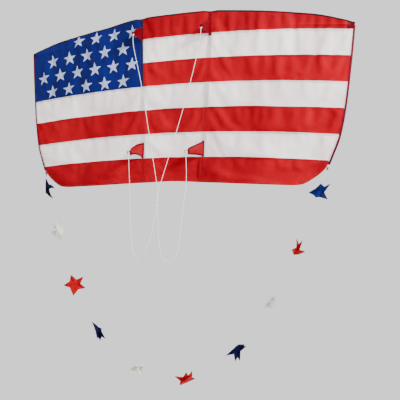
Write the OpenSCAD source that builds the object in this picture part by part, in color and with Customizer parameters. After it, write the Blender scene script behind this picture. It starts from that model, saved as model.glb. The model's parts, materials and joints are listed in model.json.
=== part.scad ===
// Bowed single-surface kite with a striped sail, two spines, four keel fins,
// a slack cord bridle and a hanging loop tail of ten cloth stars.
// Millimetres. +X to the viewer's right, -Y out of the sail's front, +Z up.
// The origin is on the cross spar's axis, at the middle of the ferrule.

/* [Sail] */
// Half of the wing span
half_span = 800; // [500:10:1200]
// Radius of the bow, seen from above
bow_radius = 8500; // [3000:100:20000]
// How far the seams drop at the wing tips
tip_droop = 35; // [0:1:80]
// Height of one stripe
stripe_height = 112; // [60:1:160]
// Height of the first seam above the cross spar
first_seam_z = -20; // [-60:1:20]
// Modelled thickness of the cloth
cloth = 0.8; // [0.5:0.1:1.5]
// Thickness of the hems and appliqué on top of the cloth
trim = 0.6; // [0.4:0.1:1]
// Width of the leading and trailing hems
hem_width = 7; // [5:1:20]
// Radius of a canton star
canton_star_radius = 35; // [20:1:45]
// Distance between canton stars along a row
canton_star_pitch = 101; // [80:1:120]
// Distance between rows of canton stars
canton_row_pitch = 76.5; // [60:0.5:90]

/* [Frame] */
// Distance of the sail's back face in front of the spar axis
sail_front = 9; // [8:0.5:14]
// Radius of the cross spar
spar_radius = 3; // [2:0.25:4]
// Radius of the spines
spine_radius = 2.5; // [2:0.25:3]
// Radius of the side rods
side_rod_radius = 2; // [1.5:0.25:3]
// Half distance between the spines at the leading edge
spine_top_x = 172; // [120:1:240]
// Half distance between the spines at the trailing edge
spine_foot_x = 142; // [100:1:240]
// Length of the ferrule that joins the spar halves
ferrule_length = 90; // [60:5:140]

/* [Keels] */
// Length of a keel's root on the sail
keel_root = 65; // [40:1:100]
// Depth of a keel, sail to tip
keel_depth = 72; // [40:1:110]
// Thickness of a keel
keel_cloth = 1; // [0.6:0.1:1.6]
// Root top of the upper keels
keel_upper_z = 38; // [0:1:60]
// Root top of the lower keels
keel_lower_z = -508; // [-560:1:-440]
// Lean of the upper left keel from square to the sail
lean_upper_left = 4; // [-60:1:60]
// Lean of the upper right keel
lean_upper_right = 10; // [-60:1:60]
// Lean of the lower left keel
lean_lower_left = 27; // [-60:1:60]
// Lean of the lower right keel
lean_lower_right = 48; // [-60:1:60]

/* [Cords and tail] */
// Radius of the bridle cord
bridle_radius = 1; // [0.6:0.1:2]
// Radius of the tail cord
tail_cord_radius = 0.75; // [0.5:0.05:1.5]
// Radius of a tail star
tail_star_radius = 55; // [30:1:70]
// Inner over outer radius of a tail star
tail_star_inner = 0.5; // [0.35:0.01:0.6]
// Thickness of a tail star
tail_star_cloth = 1.2; // [0.8:0.1:2]

/* [Hidden] */
$fn = 48;
inner_ratio = 0.39;
spine_top_z = 76;
spine_foot_z = -676;
// leading edge, side edge, rounded corner and trailing edge of the right half
lead = [[0, 84], [170, 83], [280, 76], [422, 66], [565, 53], [666, 42], [800, 13]];
side = [[795, -20], [785, -132], [774, -244], [761, -356], [741, -468], [716, -542], [692, -597]];
foot = [[675, -620], [645, -647], [600, -678], [560, -688], [480, -691], [340, -692], [142, -689], [0,
    -684]];
// side rod, from the wing tip to the lower tip
rod_route = [[799, 4], [796, -20], [787, -132], [776, -244], [763, -356], [743, -468], [718, -542],
    [697, -597], [691, -612]];
spar_stations = [12, 130, 260, 390, 520, 650, 788];

function bow(x) = bow_radius - sqrt(bow_radius * bow_radius - x * x);
function droop(x) = tip_droop * (x / half_span) * (x / half_span);
function back_y(x) = bow(x) - sail_front;
function spar_point(x) = [x, bow(x) * 0.88, -droop(x)];
function mirror_x(p) = [-p[0], p[1]];
function reversed(l) = [for (i = [len(l) - 1:-1:0]) l[i]];
function dropped(l) = [for (p = l) [p[0], p[1] - droop(p[0])]];
right_half = concat(lead, side, foot);
left_half = [for (i = [len(right_half) - 2:-1:1]) mirror_x(right_half[i])];
outline = dropped(concat(right_half, left_half));
seam_x = [for (x = [-825:55:825]) x];
function seam(z) = [for (x = seam_x) [x, z - droop(x)]];
function spine_x(z) = spine_top_x - (84 - z) * (spine_top_x - spine_foot_x) / 774;
spine_lean = atan((spine_top_x - spine_foot_x) / 774);
function hem_line(drop) = [for (p = concat(reversed([for (q = lead) mirror_x(q)]),
    [for (i = [1:len(lead) - 1]) lead[i]])) [p[0], p[1] - drop - droop(p[0])]];
function unit(v) = v / norm(v);
function on_sail(p, off) = [p[0], back_y(p[0]) - cloth - off, p[1] - droop(p[0])];

// thin shell that follows the bow, between two distances from the back face
module shell(a, b) {
    translate([0, bow_radius - sail_front, -900]) difference() {
        cylinder(r = bow_radius + b, h = 1200, $fn = 1200);
        translate([0, 0, -1]) cylinder(r = bow_radius + a, h = 1202, $fn = 1200);
    }
}
module face_cut(points) {
    translate([0, 120, 0]) rotate([90, 0, 0]) linear_extrude(240) polygon(points);
}
module stripe(a, b) {
    intersection() {
        shell(0, cloth);
        face_cut(outline);
        face_cut(concat(seam(a), reversed(seam(b))));
    }
}
module right_of_spine() {
    face_cut([[-spine_x(200), 200], [900, 200], [900, -800], [-spine_x(-800), -800]]);
}
module left_of_spine() {
    face_cut([[-spine_x(200), 200], [-900, 200], [-900, -800], [-spine_x(-800), -800]]);
}
function seam_z(i) = i == 0 ? 110 : i == 7 ? -760 : first_seam_z - stripe_height * (i - 1);

// the join over a spine: a slit a fifth of a millimetre wide
module join(s) {
    face_cut([for (p = [[-0.1, 200], [0.1, 200], [0.1, -800], [-0.1, -800]]) [s * spine_x(p[1]) + p[0],
        p[1]]]);
}
module joined(i) {
    difference() { stripe(seam_z(i), seam_z(i + 1)); join(-1); join(1); }
}
module short_stripe(i) {
    difference() { intersection() { stripe(seam_z(i), seam_z(i + 1)); right_of_spine(); } join(1); }
}
module stripe_1_red() { color([0.87, 0.10, 0.13]) short_stripe(0); }
module stripe_2_white() { color([0.94, 0.91, 0.91]) short_stripe(1); }
module stripe_3_red() { color([0.87, 0.10, 0.13]) short_stripe(2); }
module stripe_4_white() { color([0.94, 0.91, 0.91]) joined(3); }
module stripe_5_red() { color([0.87, 0.10, 0.13]) joined(4); }
module stripe_6_white() { color([0.94, 0.91, 0.91]) joined(5); }
module stripe_7_red() { color([0.87, 0.10, 0.13]) joined(6); }
module canton_blue() { color([0.14, 0.15, 0.50]) intersection() { stripe(seam_z(0),
    seam_z(3)); left_of_spine(); } }

function star(r, turn, inner = inner_ratio) = [for (i = [0:9]) let (a = 90 + turn + 36 * i,
    q = i % 2 == 0 ? r : r * inner) [q * cos(a), q * sin(a)]];
star_rows = [[4, -522, 25], [5, -672, 25 - canton_row_pitch], [6, -724, 25 - 2 * canton_row_pitch], [5,
    -668, 25 - 3 * canton_row_pitch]];
module canton_stars() {
    color([0.73, 0.77, 0.88])
    for (row = star_rows) for (i = [0:row[0] - 1])
        let (x = row[1] + canton_star_pitch * i, z = row[2] - droop(x))
        intersection() {
            shell(cloth + 0.06, cloth + 0.06 + trim);
            face_cut(concat(hem_line(hem_width + 0.5), [[900, -900], [-900, -900]]));
            face_cut([for (p = star(canton_star_radius, -atan(2 * droop(x) / x))) [p[0] + x,
                p[1] + z]]);
        }
}
module leading_hem() {
    color([0.20, 0.08, 0.14])
    intersection() {
        shell(cloth + 0.06, cloth + 0.06 + trim);
        difference() {
            face_cut(outline);
            face_cut(concat(hem_line(hem_width), [[900, -900], [-900, -900]]));
        }
        translate([0, 0, 100]) cube([2 * 752, 300, 400], center = true);
    }
}
module trailing_hem() {
    color([0.72, 0.06, 0.11])
    intersection() {
        shell(cloth + 0.06, cloth + 0.06 + trim);
        difference() {
            face_cut(outline);
            face_cut(concat([for (p = concat([for (q = foot) mirror_x(q)],
                [for (i = [len(foot) - 2:-1:0]) foot[i]])) [p[0], p[1] + hem_width - droop(p[0])]],
                [[900, 300], [-900, 300]]));
        }
        translate([0, 0, -800]) cube([2 * 662, 300, 600], center = true);
    }
}

// rings round a route: n sides, each ring square to the route
function ring(c, t, r, n) =
    let (u = unit(cross(t, abs(t[1]) > 0.9 ? [1, 0, 0] : [0, 1, 0])), v = cross(t, u))
    [for (i = [0:n - 1]) c + r * (cos(360 * i / n) * u + sin(360 * i / n) * v)];
function tangent(l, i) = unit(l[min(i + 1, len(l) - 1)] - l[max(i - 1, 0)]);
module sweep(l, r, n) {
    m = len(l);
    points = [for (i = [0:m - 1]) each ring(l[i], tangent(l, i), r, n)];
    polyhedron(points, concat(
        [[for (i = [0:n - 1]) i]],
        [for (j = [0:m - 2]) for (i = [0:n - 1]) [j * n + i, (j + 1) * n + i,
            (j + 1) * n + (i + 1) % n]],
        [for (j = [0:m - 2]) for (i = [0:n - 1]) [j * n + i, (j + 1) * n + (i + 1) % n,
            j * n + (i + 1) % n]],
        [[for (i = [n - 1:-1:0]) (m - 1) * n + i]]));
}
module hollow_sweep(l, ro, ri, n) {
    m = len(l);
    k = m * n;
    points = concat([for (i = [0:m - 1]) each ring(l[i], tangent(l, i), ro, n)],
        [for (i = [0:m - 1]) each ring(l[i], tangent(l, i), ri, n)]);
    polyhedron(points, concat(
        [for (j = [0:m - 2]) for (i = [0:n - 1]) [j * n + i, (j + 1) * n + i,
            (j + 1) * n + (i + 1) % n]],
        [for (j = [0:m - 2]) for (i = [0:n - 1]) [j * n + i, (j + 1) * n + (i + 1) % n,
            j * n + (i + 1) % n]],
        [for (j = [0:m - 2]) for (i = [0:n - 1]) [k + j * n + i, k + (j + 1) * n + (i + 1) % n,
            k + (j + 1) * n + i]],
        [for (j = [0:m - 2]) for (i = [0:n - 1]) [k + j * n + i, k + j * n + (i + 1) % n,
            k + (j + 1) * n + (i + 1) % n]],
        [for (i = [0:n - 1]) [i, (i + 1) % n, k + (i + 1) % n]],
        [for (i = [0:n - 1]) [i, k + (i + 1) % n, k + i]],
        [for (i = [0:n - 1]) [(m - 1) * n + i, k + (m - 1) * n + (i + 1) % n,
            (m - 1) * n + (i + 1) % n]],
        [for (i = [0:n - 1]) [(m - 1) * n + i, k + (m - 1) * n + i, k + (m - 1) * n + (i + 1) % n]]));
}
// smooth route through the stations of a cord
function blend4(a, b, c, d,
    t) = 0.5 * (2 * b + (c - a) * t + (2 * a - 5 * b + 4 * c - d) * t * t + (3 * b - a - 3 * c + d) * t * t * t);
function smooth(l, k) = [for (i = [0:len(l) - 2]) for (j = [0:k - 1])
    blend4(l[max(i - 1, 0)], l[i], l[i + 1], l[min(i + 2, len(l) - 1)], j / k), l[len(l) - 1]];

module cross_spar_half(s) { color([0.10, 0.10, 0.11]) sweep([for (x = spar_stations) spar_point(s * x)],
    spar_radius, 16); }
module cross_spar_left() { cross_spar_half(-1); }
module cross_spar_right() { cross_spar_half(1); }
module spar_ferrule() {
    color([0.75, 0.76, 0.78]) rotate([0, 90, 0]) difference() {
        cylinder(r = spar_radius + 1.2, h = ferrule_length, center = true);
        cylinder(r = spar_radius + 0.3, h = ferrule_length + 2, center = true);
    }
}
// local frame of a spine: its axis along Z, behind the sail, at height z
spine_y = back_y(spine_top_x) + spine_radius + 0.9;
module on_spine(s) {
    translate([s * spine_x(0), spine_y, 0]) rotate([0, s * spine_lean, 0]) children();
}
module spine_rod(s) { color([0.12, 0.12, 0.13]) on_spine(s) translate([0, 0,
    spine_foot_z]) cylinder(r = spine_radius, h = spine_top_z - spine_foot_z); }
module spine_left() { spine_rod(-1); }
module spine_right() { spine_rod(1); }
module sleeve_part(z0, z1) {
    translate([0, 0, z0]) linear_extrude(z1 - z0) difference() {
        union() { circle(r = spine_radius + 0.7); translate([0, -spine_radius - 0.15]) square([20, 0.6],
            center = true); }
        circle(r = spine_radius + 0.05);
        translate([-15, -spine_radius - 5.4]) square([30, 5]);
    }
}
module spine_sleeve(s) {
    color([0.62, 0.10, 0.14]) on_spine(s) { sleeve_part(16, 60); sleeve_part(-658, -16); }
}
module spine_sleeve_left() { spine_sleeve(-1); }
module spine_sleeve_right() { spine_sleeve(1); }
// leather pocket behind the sail over the end of a spine; up = 1 at the leading edge
module end_pocket(s, up, z_end) {
    color([0.12, 0.09, 0.09]) on_spine(s) difference() {
        translate([-9, -2.9, up > 0 ? z_end - 14 : z_end - 4]) cube([18, 7.4, up > 0 ? 18 : 21]);
        translate([0, 0, up > 0 ? z_end - 60 : z_end]) cylinder(r = spine_radius + 0.05, h = 60);
    }
}
module spine_pocket_top_left() { end_pocket(-1, 1, spine_top_z); }
module spine_pocket_top_right() { end_pocket(1, 1, spine_top_z); }
module spine_pocket_foot_left() { end_pocket(-1, -1, spine_foot_z); }
module spine_pocket_foot_right() { end_pocket(1, -1, spine_foot_z); }
module spar_tie(s) {
    color([0.10, 0.10, 0.10]) translate([s * spine_x(0), 0, -droop(spine_x(0))]) difference() {
        translate([-9, spine_y - spine_radius - 0.4, -9]) cube([18, 11.5 - spine_y - 0.0, 18]);
        translate([0, spine_y, 0]) rotate([0, s * spine_lean, 0]) cylinder(r = spine_radius + 0.05,
            h = 60, center = true);
        translate([-20, -(spar_radius + 0.6) + bow(spine_x(0)), -(spar_radius + 0.6)]) cube([40,
            2 * spar_radius + 1.2, 2 * spar_radius + 1.2]);
    }
}
module spar_tie_left() { spar_tie(-1); }
module spar_tie_right() { spar_tie(1); }

function rod_point(s, p) = [s * p[0], back_y(p[0]) + side_rod_radius + 1.4, p[1] - droop(p[0])];
module side_rod(s) { color([0.80, 0.78, 0.70]) sweep([for (p = rod_route) rod_point(s, p)],
    side_rod_radius, 12); }
module side_rod_left() { side_rod(-1); }
module side_rod_right() { side_rod(1); }
module side_sleeve(s) {
    color([0.45, 0.05, 0.14]) hollow_sweep([for (i = [0:7]) rod_point(s, rod_route[i])],
        side_rod_radius + 1.3, side_rod_radius + 0.5, 12);
}
module side_sleeve_left() { side_sleeve(-1); }
module side_sleeve_right() { side_sleeve(1); }
rod_end = rod_point(1, [691, -612]);
rod_dir = unit(rod_point(1, [691, -612]) - rod_point(1, [697, -597]));
module rod_cap(s) {
    color([0.08, 0.08, 0.09]) mirror([s < 0 ? 1 : 0, 0,
        0]) translate(rod_end) multmatrix(axes(rod_dir)) difference() {
        translate([0, 0, -9]) cylinder(r = side_rod_radius + 1.2, h = 14);
        translate([0, 0, -10]) cylinder(r = side_rod_radius + 0.15, h = 10.05);
    }
}
function axes(w) = let (u = unit(cross([0, 1, 0], w)), v = cross(w, u)) [[u[0], v[0], w[0], 0], [u[1],
    v[1], w[1], 0], [u[2], v[2], w[2], 0], [0, 0, 0, 1]];
module rod_cap_left() { rod_cap(-1); }
module rod_cap_right() { rod_cap(1); }
// leather pocket behind the wing tip, which takes the spar end
module tip_pocket(s) {
    y0 = back_y(785);
    color([0.10, 0.07, 0.07]) mirror([s < 0 ? 1 : 0, 0, 0]) difference() {
        translate([0, y0 + 10, 0]) rotate([90, 0, 0]) linear_extrude(11.5) polygon([[764, -21], [786,
            -21], [791.5, -26], [791.5, -45], [788, -48], [764, -46]]);
        intersection() { shell(-0.15, 30); translate([700, -100, -200]) cube([100, 300, 300]); }
        sweep([for (x = [700, 740, 790]) spar_point(x)], spar_radius + 0.3, 16);
    }
}
module wing_pocket_left() { tip_pocket(-1); }
module wing_pocket_right() { tip_pocket(1); }

// keel: root on the local Z axis, depth along local X, then turned to its lean
keel_gap = 1.3;
tip_high = -38;
tip_low = -62;
module keel_place(s, z, lean) {
    x = s * spine_x(z - keel_root / 2);
    translate([x, back_y(x) - cloth - trim - keel_gap, z]) rotate([0, 0, -90 - lean]) children();
}
module keel_fin(s, z, lean) {
    color([0.83, 0.07, 0.11]) keel_place(s, z, lean) rotate([90, 0, 0]) translate([0, 0,
        -keel_cloth / 2]) linear_extrude(keel_cloth)
        polygon([[0, 0], [6, -1], [keel_depth - 2, tip_high], [keel_depth, tip_high - 3], [keel_depth,
            tip_low + 3], [keel_depth - 2, tip_low], [6, 1 - keel_root], [0, -keel_root]]);
}
module keel_ring(s, z, lean) {
    color([0.70, 0.05, 0.09]) keel_place(s, z, lean) rotate([90, 0, 0]) translate([keel_depth,
        (tip_high + tip_low) / 2, -1.2]) linear_extrude(2.4) difference() {
        union() { translate([0, -8]) square([8, 16]); translate([8, 0]) circle(r = 8, $fn = 32); }
        translate([8, 0]) circle(r = 5, $fn = 32);
        translate([-20, -20]) square([20, 40]);
    }
}
module keel_upper_left() { keel_fin(-1, keel_upper_z, lean_upper_left); }
module keel_upper_right() { keel_fin(1, keel_upper_z, lean_upper_right); }
module keel_lower_left() { keel_fin(-1, keel_lower_z, lean_lower_left); }
module keel_lower_right() { keel_fin(1, keel_lower_z, lean_lower_right); }
module keel_loop_upper_left() { keel_ring(-1, keel_upper_z, lean_upper_left); }
module keel_loop_upper_right() { keel_ring(1, keel_upper_z, lean_upper_right); }
module keel_loop_lower_left() { keel_ring(-1, keel_lower_z, lean_lower_left); }
module keel_loop_lower_right() { keel_ring(1, keel_lower_z, lean_lower_right); }
module keel_seam_tapes() {
    color([0.66, 0.05, 0.09])
    for (s = [-1, 1]) for (z = [keel_upper_z, keel_lower_z])
        intersection() {
            shell(cloth + 0.06, cloth + 0.06 + trim);
            face_cut([for (p = [[-5, 4], [5, 4], [5, -keel_root - 4], [-5,
                -keel_root - 4]]) [s * spine_x(z - keel_root / 2) + p[0], z + p[1]]]);
        }
}

// bridle: four legs that meet at the tow knot
tow_knot_at = [-33, -89, -797];
function keel_tip(s, z, lean, drop) =
    let (x = s * spine_x(z - keel_root / 2), y = back_y(x) - cloth - trim - keel_gap,
        d = keel_depth + 8)
    [x - d * sin(lean), y - d * cos(lean), z + (tip_high + tip_low) / 2 - drop];
route_upper_left = [keel_tip(-1, keel_upper_z, lean_upper_left, 8.8), [-170, -88, -80], [-123, -88,
    -268], [-80, -89, -484], [-40, -89, -686], [-31, -89, -728], [-35, -89, -789]];
route_upper_right = [keel_tip(1, keel_upper_z, lean_upper_right, 8.8), [148, -87, -90], [111, -88,
    -256], [53, -89, -468], [-14, -89, -686], [-26, -89, -728], [-31, -89, -789]];
route_lower_left = [keel_tip(-1, keel_lower_z, lean_lower_left, 8.8), [-177, -77, -700], [-168, -81,
    -820], [-158, -85, -930], [-149, -87, -990], [-132, -88, -1024], [-112, -89, -1026], [-88, -89,
    -1006], [-64, -89, -955], [-48, -89, -880], [-36, -89, -805]];
route_lower_right = [keel_tip(1, keel_lower_z, lean_lower_right, 8.8), [93, -64, -692], [84, -72, -810],
    [78, -80, -900], [73, -84, -970], [64, -86, -1014], [43, -88, -1038], [20, -89, -1041], [0, -89,
    -1028], [-17, -89, -975], [-25, -89, -890], [-31, -89, -805]];
module bridle_upper_left() { color([0.93, 0.92, 0.88]) sweep(route_upper_left, bridle_radius, 8); }
module bridle_upper_right() { color([0.93, 0.92, 0.88]) sweep(route_upper_right, bridle_radius, 8); }
module bridle_lower_left() { color([0.93, 0.92, 0.88]) sweep(route_lower_left, bridle_radius, 8); }
module bridle_lower_right() { color([0.93, 0.92, 0.88]) sweep(route_lower_right, bridle_radius, 8); }
module tow_knot() {
    color([0.90, 0.89, 0.85]) translate(tow_knot_at) {
        difference() {
            union() {
                sphere(r = 6, $fn = 32);
                for (k = [-1, 1]) translate([k, 0, k * 4.4]) sphere(r = 4.6, $fn = 32);
            }
            for (k = [-1, 1]) translate([0, 0, k * 12.8]) cube([30, 30, 10], center = true);
        }
    }
}

// tail: one cord between the side rod tips, ten stars on it
tail_y = rod_end[1];
tail_end = rod_end + 6.2 * rod_dir;
tail_route = [[-tail_end[0], tail_y, tail_end[2]], [-664, tail_y, -765], [-612, tail_y, -925], [-531,
    tail_y, -1113], [-480, tail_y, -1215], [-403, tail_y, -1339], [-326, tail_y, -1424],
    [-229, tail_y, -1497], [-121, tail_y, -1544], [0, tail_y, -1556], [85, tail_y, -1550], [140, tail_y,
        -1529], [201, tail_y, -1490], [262, tail_y, -1445], [325, tail_y, -1380],
    [425, tail_y, -1240], [500, tail_y, -1110], [555, tail_y, -1000], [600, tail_y, -890], [640, tail_y,
        -780], [tail_end[0], tail_y, tail_end[2]]];
module tail_cord() { color([0.75, 0.75, 0.77]) sweep(tail_route, tail_cord_radius, 8); }
// each star: route leg it hangs on, place along that leg, spin about the cord, turn in its plane
tail_places = [[0, 0.62, 62, 10], [1, 0.98, 20, 0], [3, 0.60, -30, 26], [5, 0.50, -58, 60], [7, 0.72,
    35, 15],
    [10, 0.10, 0, 30], [13, 0.62, -12, 40], [15, 0.28, 38, 10], [17, 0.25, -35, 0], [19, 0.40, 12, 12]];
module tail_star(i, tint) {
    q = tail_places[i];
    a = tail_route[q[0]];
    b = tail_route[q[0] + 1];
    t = unit(b - a);
    n = cos(q[2]) * [0, -1, 0] + sin(q[2]) * cross(t, [0, -1, 0]);
    v = cross(n, t);
    c = a + (b - a) * q[1] + n * (tail_cord_radius + 0.4);
    color(tint) multmatrix([[t[0], v[0], n[0], c[0]], [t[1], v[1], n[1], c[1]], [t[2], v[2], n[2],
        c[2]], [0, 0, 0, 1]])
        linear_extrude(tail_star_cloth) polygon(star(tail_star_radius, q[3], tail_star_inner));
}
blue = [0.12, 0.18, 0.55];
red = [0.88, 0.12, 0.12];
white = [0.93, 0.91, 0.88];
module tail_star_1() { tail_star(0, blue); }
module tail_star_2() { tail_star(1, white); }
module tail_star_3() { tail_star(2, red); }
module tail_star_4() { tail_star(3, blue); }
module tail_star_5() { tail_star(4, white); }
module tail_star_6() { tail_star(5, red); }
module tail_star_7() { tail_star(6, blue); }
module tail_star_8() { tail_star(7, white); }
module tail_star_9() { tail_star(8, red); }
module tail_star_10() { tail_star(9, blue); }

canton_blue();
canton_stars();
stripe_1_red();
stripe_2_white();
stripe_3_red();
stripe_4_white();
stripe_5_red();
stripe_6_white();
stripe_7_red();
leading_hem();
trailing_hem();
cross_spar_left();
cross_spar_right();
spar_ferrule();
spine_left();
spine_right();
spine_sleeve_left();
spine_sleeve_right();
spine_pocket_top_left();
spine_pocket_top_right();
spine_pocket_foot_left();
spine_pocket_foot_right();
spar_tie_left();
spar_tie_right();
side_rod_left();
side_rod_right();
side_sleeve_left();
side_sleeve_right();
rod_cap_left();
rod_cap_right();
wing_pocket_left();
wing_pocket_right();
keel_upper_left();
keel_upper_right();
keel_lower_left();
keel_lower_right();
keel_loop_upper_left();
keel_loop_upper_right();
keel_loop_lower_left();
keel_loop_lower_right();
keel_seam_tapes();
bridle_upper_left();
bridle_upper_right();
bridle_lower_left();
bridle_lower_right();
tow_knot();
tail_cord();
tail_star_1();
tail_star_2();
tail_star_3();
tail_star_4();
tail_star_5();
tail_star_6();
tail_star_7();
tail_star_8();
tail_star_9();
tail_star_10();
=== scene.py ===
import bpy, math, json
import numpy as np
from mathutils import Vector, Matrix

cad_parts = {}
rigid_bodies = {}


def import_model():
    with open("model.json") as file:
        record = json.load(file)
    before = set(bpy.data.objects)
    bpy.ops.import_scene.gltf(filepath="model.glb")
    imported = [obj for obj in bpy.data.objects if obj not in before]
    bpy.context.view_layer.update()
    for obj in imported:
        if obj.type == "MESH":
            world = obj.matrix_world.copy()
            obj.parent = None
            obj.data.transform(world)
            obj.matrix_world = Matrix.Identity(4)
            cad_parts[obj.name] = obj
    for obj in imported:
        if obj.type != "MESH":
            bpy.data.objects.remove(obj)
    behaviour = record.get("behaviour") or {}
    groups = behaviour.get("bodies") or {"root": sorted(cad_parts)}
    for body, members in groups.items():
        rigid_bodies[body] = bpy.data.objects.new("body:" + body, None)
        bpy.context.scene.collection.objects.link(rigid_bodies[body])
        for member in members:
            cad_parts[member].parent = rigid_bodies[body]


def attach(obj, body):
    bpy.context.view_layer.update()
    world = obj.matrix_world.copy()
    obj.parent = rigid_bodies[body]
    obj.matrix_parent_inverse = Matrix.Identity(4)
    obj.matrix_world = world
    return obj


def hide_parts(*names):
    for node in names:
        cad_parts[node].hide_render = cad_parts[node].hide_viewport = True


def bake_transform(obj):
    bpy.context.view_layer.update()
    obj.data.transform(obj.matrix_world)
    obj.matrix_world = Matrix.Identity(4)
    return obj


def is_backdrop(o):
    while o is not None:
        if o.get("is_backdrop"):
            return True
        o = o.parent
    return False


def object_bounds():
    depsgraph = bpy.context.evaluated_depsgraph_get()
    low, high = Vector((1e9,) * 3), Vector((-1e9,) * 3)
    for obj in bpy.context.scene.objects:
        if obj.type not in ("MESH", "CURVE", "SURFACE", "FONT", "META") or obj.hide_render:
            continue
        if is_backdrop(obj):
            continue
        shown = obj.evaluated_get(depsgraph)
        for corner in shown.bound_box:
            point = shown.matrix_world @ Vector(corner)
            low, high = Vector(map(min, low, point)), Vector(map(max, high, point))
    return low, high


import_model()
cad_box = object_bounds()
scene = bpy.context.scene

# ---------------------------------------------------------------- camera
CAM_AT = (1.061, -2.498, -0.9285)
CAM_YAW, CAM_PITCH, CAM_ROLL = 20.33, 3.42, 1.28
cam_data = bpy.data.cameras.new("camera")
cam_data.lens, cam_data.sensor_width, cam_data.clip_end = 54.0, 36.0, 60.0
camera = bpy.data.objects.new("camera", cam_data)
scene.collection.objects.link(camera)
camera.matrix_world = (Matrix.Translation(CAM_AT)
                       @ Matrix.Rotation(math.radians(CAM_YAW), 4, "Z")
                       @ Matrix.Rotation(math.radians(90 + CAM_PITCH), 4, "X")
                       @ Matrix.Rotation(math.radians(CAM_ROLL), 4, "Z"))
scene.camera = camera

# ---------------------------------------------------------------- shape of the sail, in metres
# u runs across the sail and w up it, both measured on the cloth; the spar lies at w = 0
BOW, FRONT, SPAN, DROOP = 8.5, 0.009, 0.8, 0.035
STRIPE = 0.112
SEAM_W = [-0.020 - STRIPE * i for i in range(6)]
LEAD = [(0, .084), (.170, .083), (.280, .076), (.422, .066), (.565, .053), (.666, .042), (.800, .013)]
SIDE = [(.800, .013), (.795, -.020), (.785, -.132), (.774, -.244), (.761, -.356), (.741, -.468),
        (.716, -.542), (.692, -.597)]
FOOT = [(.692, -.597), (.675, -.620), (.645, -.647), (.600, -.678), (.560, -.688), (.480, -.691),
        (.340, -.692), (.142, -.689), (0, -.684)]
ROD = [(.799, .004), (.796, -.020), (.787, -.132), (.776, -.244), (.763, -.356), (.743, -.468),
       (.718, -.542), (.697, -.597), (.691, -.612)]
TOP = LEAD[0][1]
SPINE_TOP_U, SPINE_CLOSES, SPINE_LONG = 0.172, 0.030, 0.774
CLOTH_THICK, TAPE_THICK = 0.00018, 0.0002
BRIDLE_D, TAIL_D = 0.0020, 0.0015
ROD_GAP = 0.0034  # from the back of the cloth to the middle of a rod behind it


def bow(x):
    """How far the bowed spar stands back at x."""
    return BOW - np.sqrt(BOW * BOW - np.square(x))


def droop(x):
    """How far the wings hang below the middle at x."""
    return DROOP * np.square(np.asarray(x, float) / SPAN)


def spine_x(w):
    """How far a spine stands from the middle at w: the two close in downwards."""
    return SPINE_TOP_U - (TOP - np.asarray(w, float)) * (SPINE_CLOSES / SPINE_LONG)


def back_y(x):
    """Where the back of the cloth lies at x."""
    return bow(x) - FRONT


def catmull(points, n):
    """A smooth route through the points, n pieces between each two."""
    P = np.array(points, float)
    E = np.vstack([2 * P[0] - P[1], P, 2 * P[-1] - P[-2]])
    out = []
    for i in range(1, len(E) - 2):
        a, b, c, d = E[i - 1], E[i], E[i + 1], E[i + 2]
        for t in np.arange(n) / n:
            out.append(0.5 * (2 * b + (c - a) * t + (2 * a - 5 * b + 4 * c - d) * t * t
                              + (3 * b - a - 3 * c + d) * t ** 3))
    out.append(P[-1])
    return np.array(out)


def distances(P):
    """How far along its route each point lies."""
    return np.concatenate([[0], np.cumsum(np.linalg.norm(np.diff(P, axis=0), axis=1))])


def resample(P, n):
    """n points spaced evenly along a route."""
    s = distances(P)
    t = np.linspace(0, s[-1], n)
    return np.stack([np.interp(t, s, P[:, k]) for k in range(P.shape[1])], 1)


def route_length(P):
    """How long a route is."""
    return float(np.linalg.norm(np.diff(np.asarray(P), axis=0), axis=1).sum())


# ---------------------------------------------------------------- small mesh kit
def new_object(name, verts, faces, smooth=True):
    me = bpy.data.meshes.new(name)
    me.from_pydata([tuple(map(float, v)) for v in verts], [], [tuple(int(i) for i in f) for f in faces])
    me.validate()
    me.update()
    if smooth:
        me.polygons.foreach_set("use_smooth", [True] * len(me.polygons))
    ob = bpy.data.objects.new(name, me)
    scene.collection.objects.link(ob)
    return ob


def set_uv(ob, uv):
    me = ob.data
    layer = me.uv_layers.new(name="lay")
    idx = np.empty(len(me.loops), int)
    me.loops.foreach_get("vertex_index", idx)
    layer.data.foreach_set("uv", np.asarray(uv, float)[idx].ravel())


def place(ob, body, slot, *nodes):
    """The piece rides a body and stands for the CAD nodes named, which it hides; slot is not used."""
    for node in nodes:
        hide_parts(node)
    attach(ob, body)


def tube_data(P, r, n=12):
    """Rings round a route, with no twist; r is a radius or one per point."""
    P = np.asarray(P, float)
    r = np.full(len(P), r) if np.isscalar(r) else np.asarray(r, float)
    T = np.gradient(P, axis=0)
    T /= np.linalg.norm(T, axis=1)[:, None]
    a = np.array([0, 1.0, 0]) if abs(T[0][1]) < 0.9 else np.array([1.0, 0, 0])
    u = np.cross(T[0], a)
    u /= np.linalg.norm(u)
    V, UV = [], []
    s = distances(P)
    ang = 2 * np.pi * np.arange(n) / n
    for i, p in enumerate(P):
        u = u - T[i] * np.dot(u, T[i])
        u /= np.linalg.norm(u)
        v = np.cross(T[i], u)
        V += list(p + r[i] * (np.cos(ang)[:, None] * u + np.sin(ang)[:, None] * v))
        UV += [(k / n, s[i]) for k in range(n)]
    F = []
    for j in range(len(P) - 1):
        for i in range(n):
            k = (i + 1) % n
            F.append((j * n + i, j * n + k, (j + 1) * n + k, (j + 1) * n + i))
    F.append(tuple(range(n - 1, -1, -1)))
    F.append(tuple((len(P) - 1) * n + i for i in range(n)))
    return V, F, UV


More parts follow.
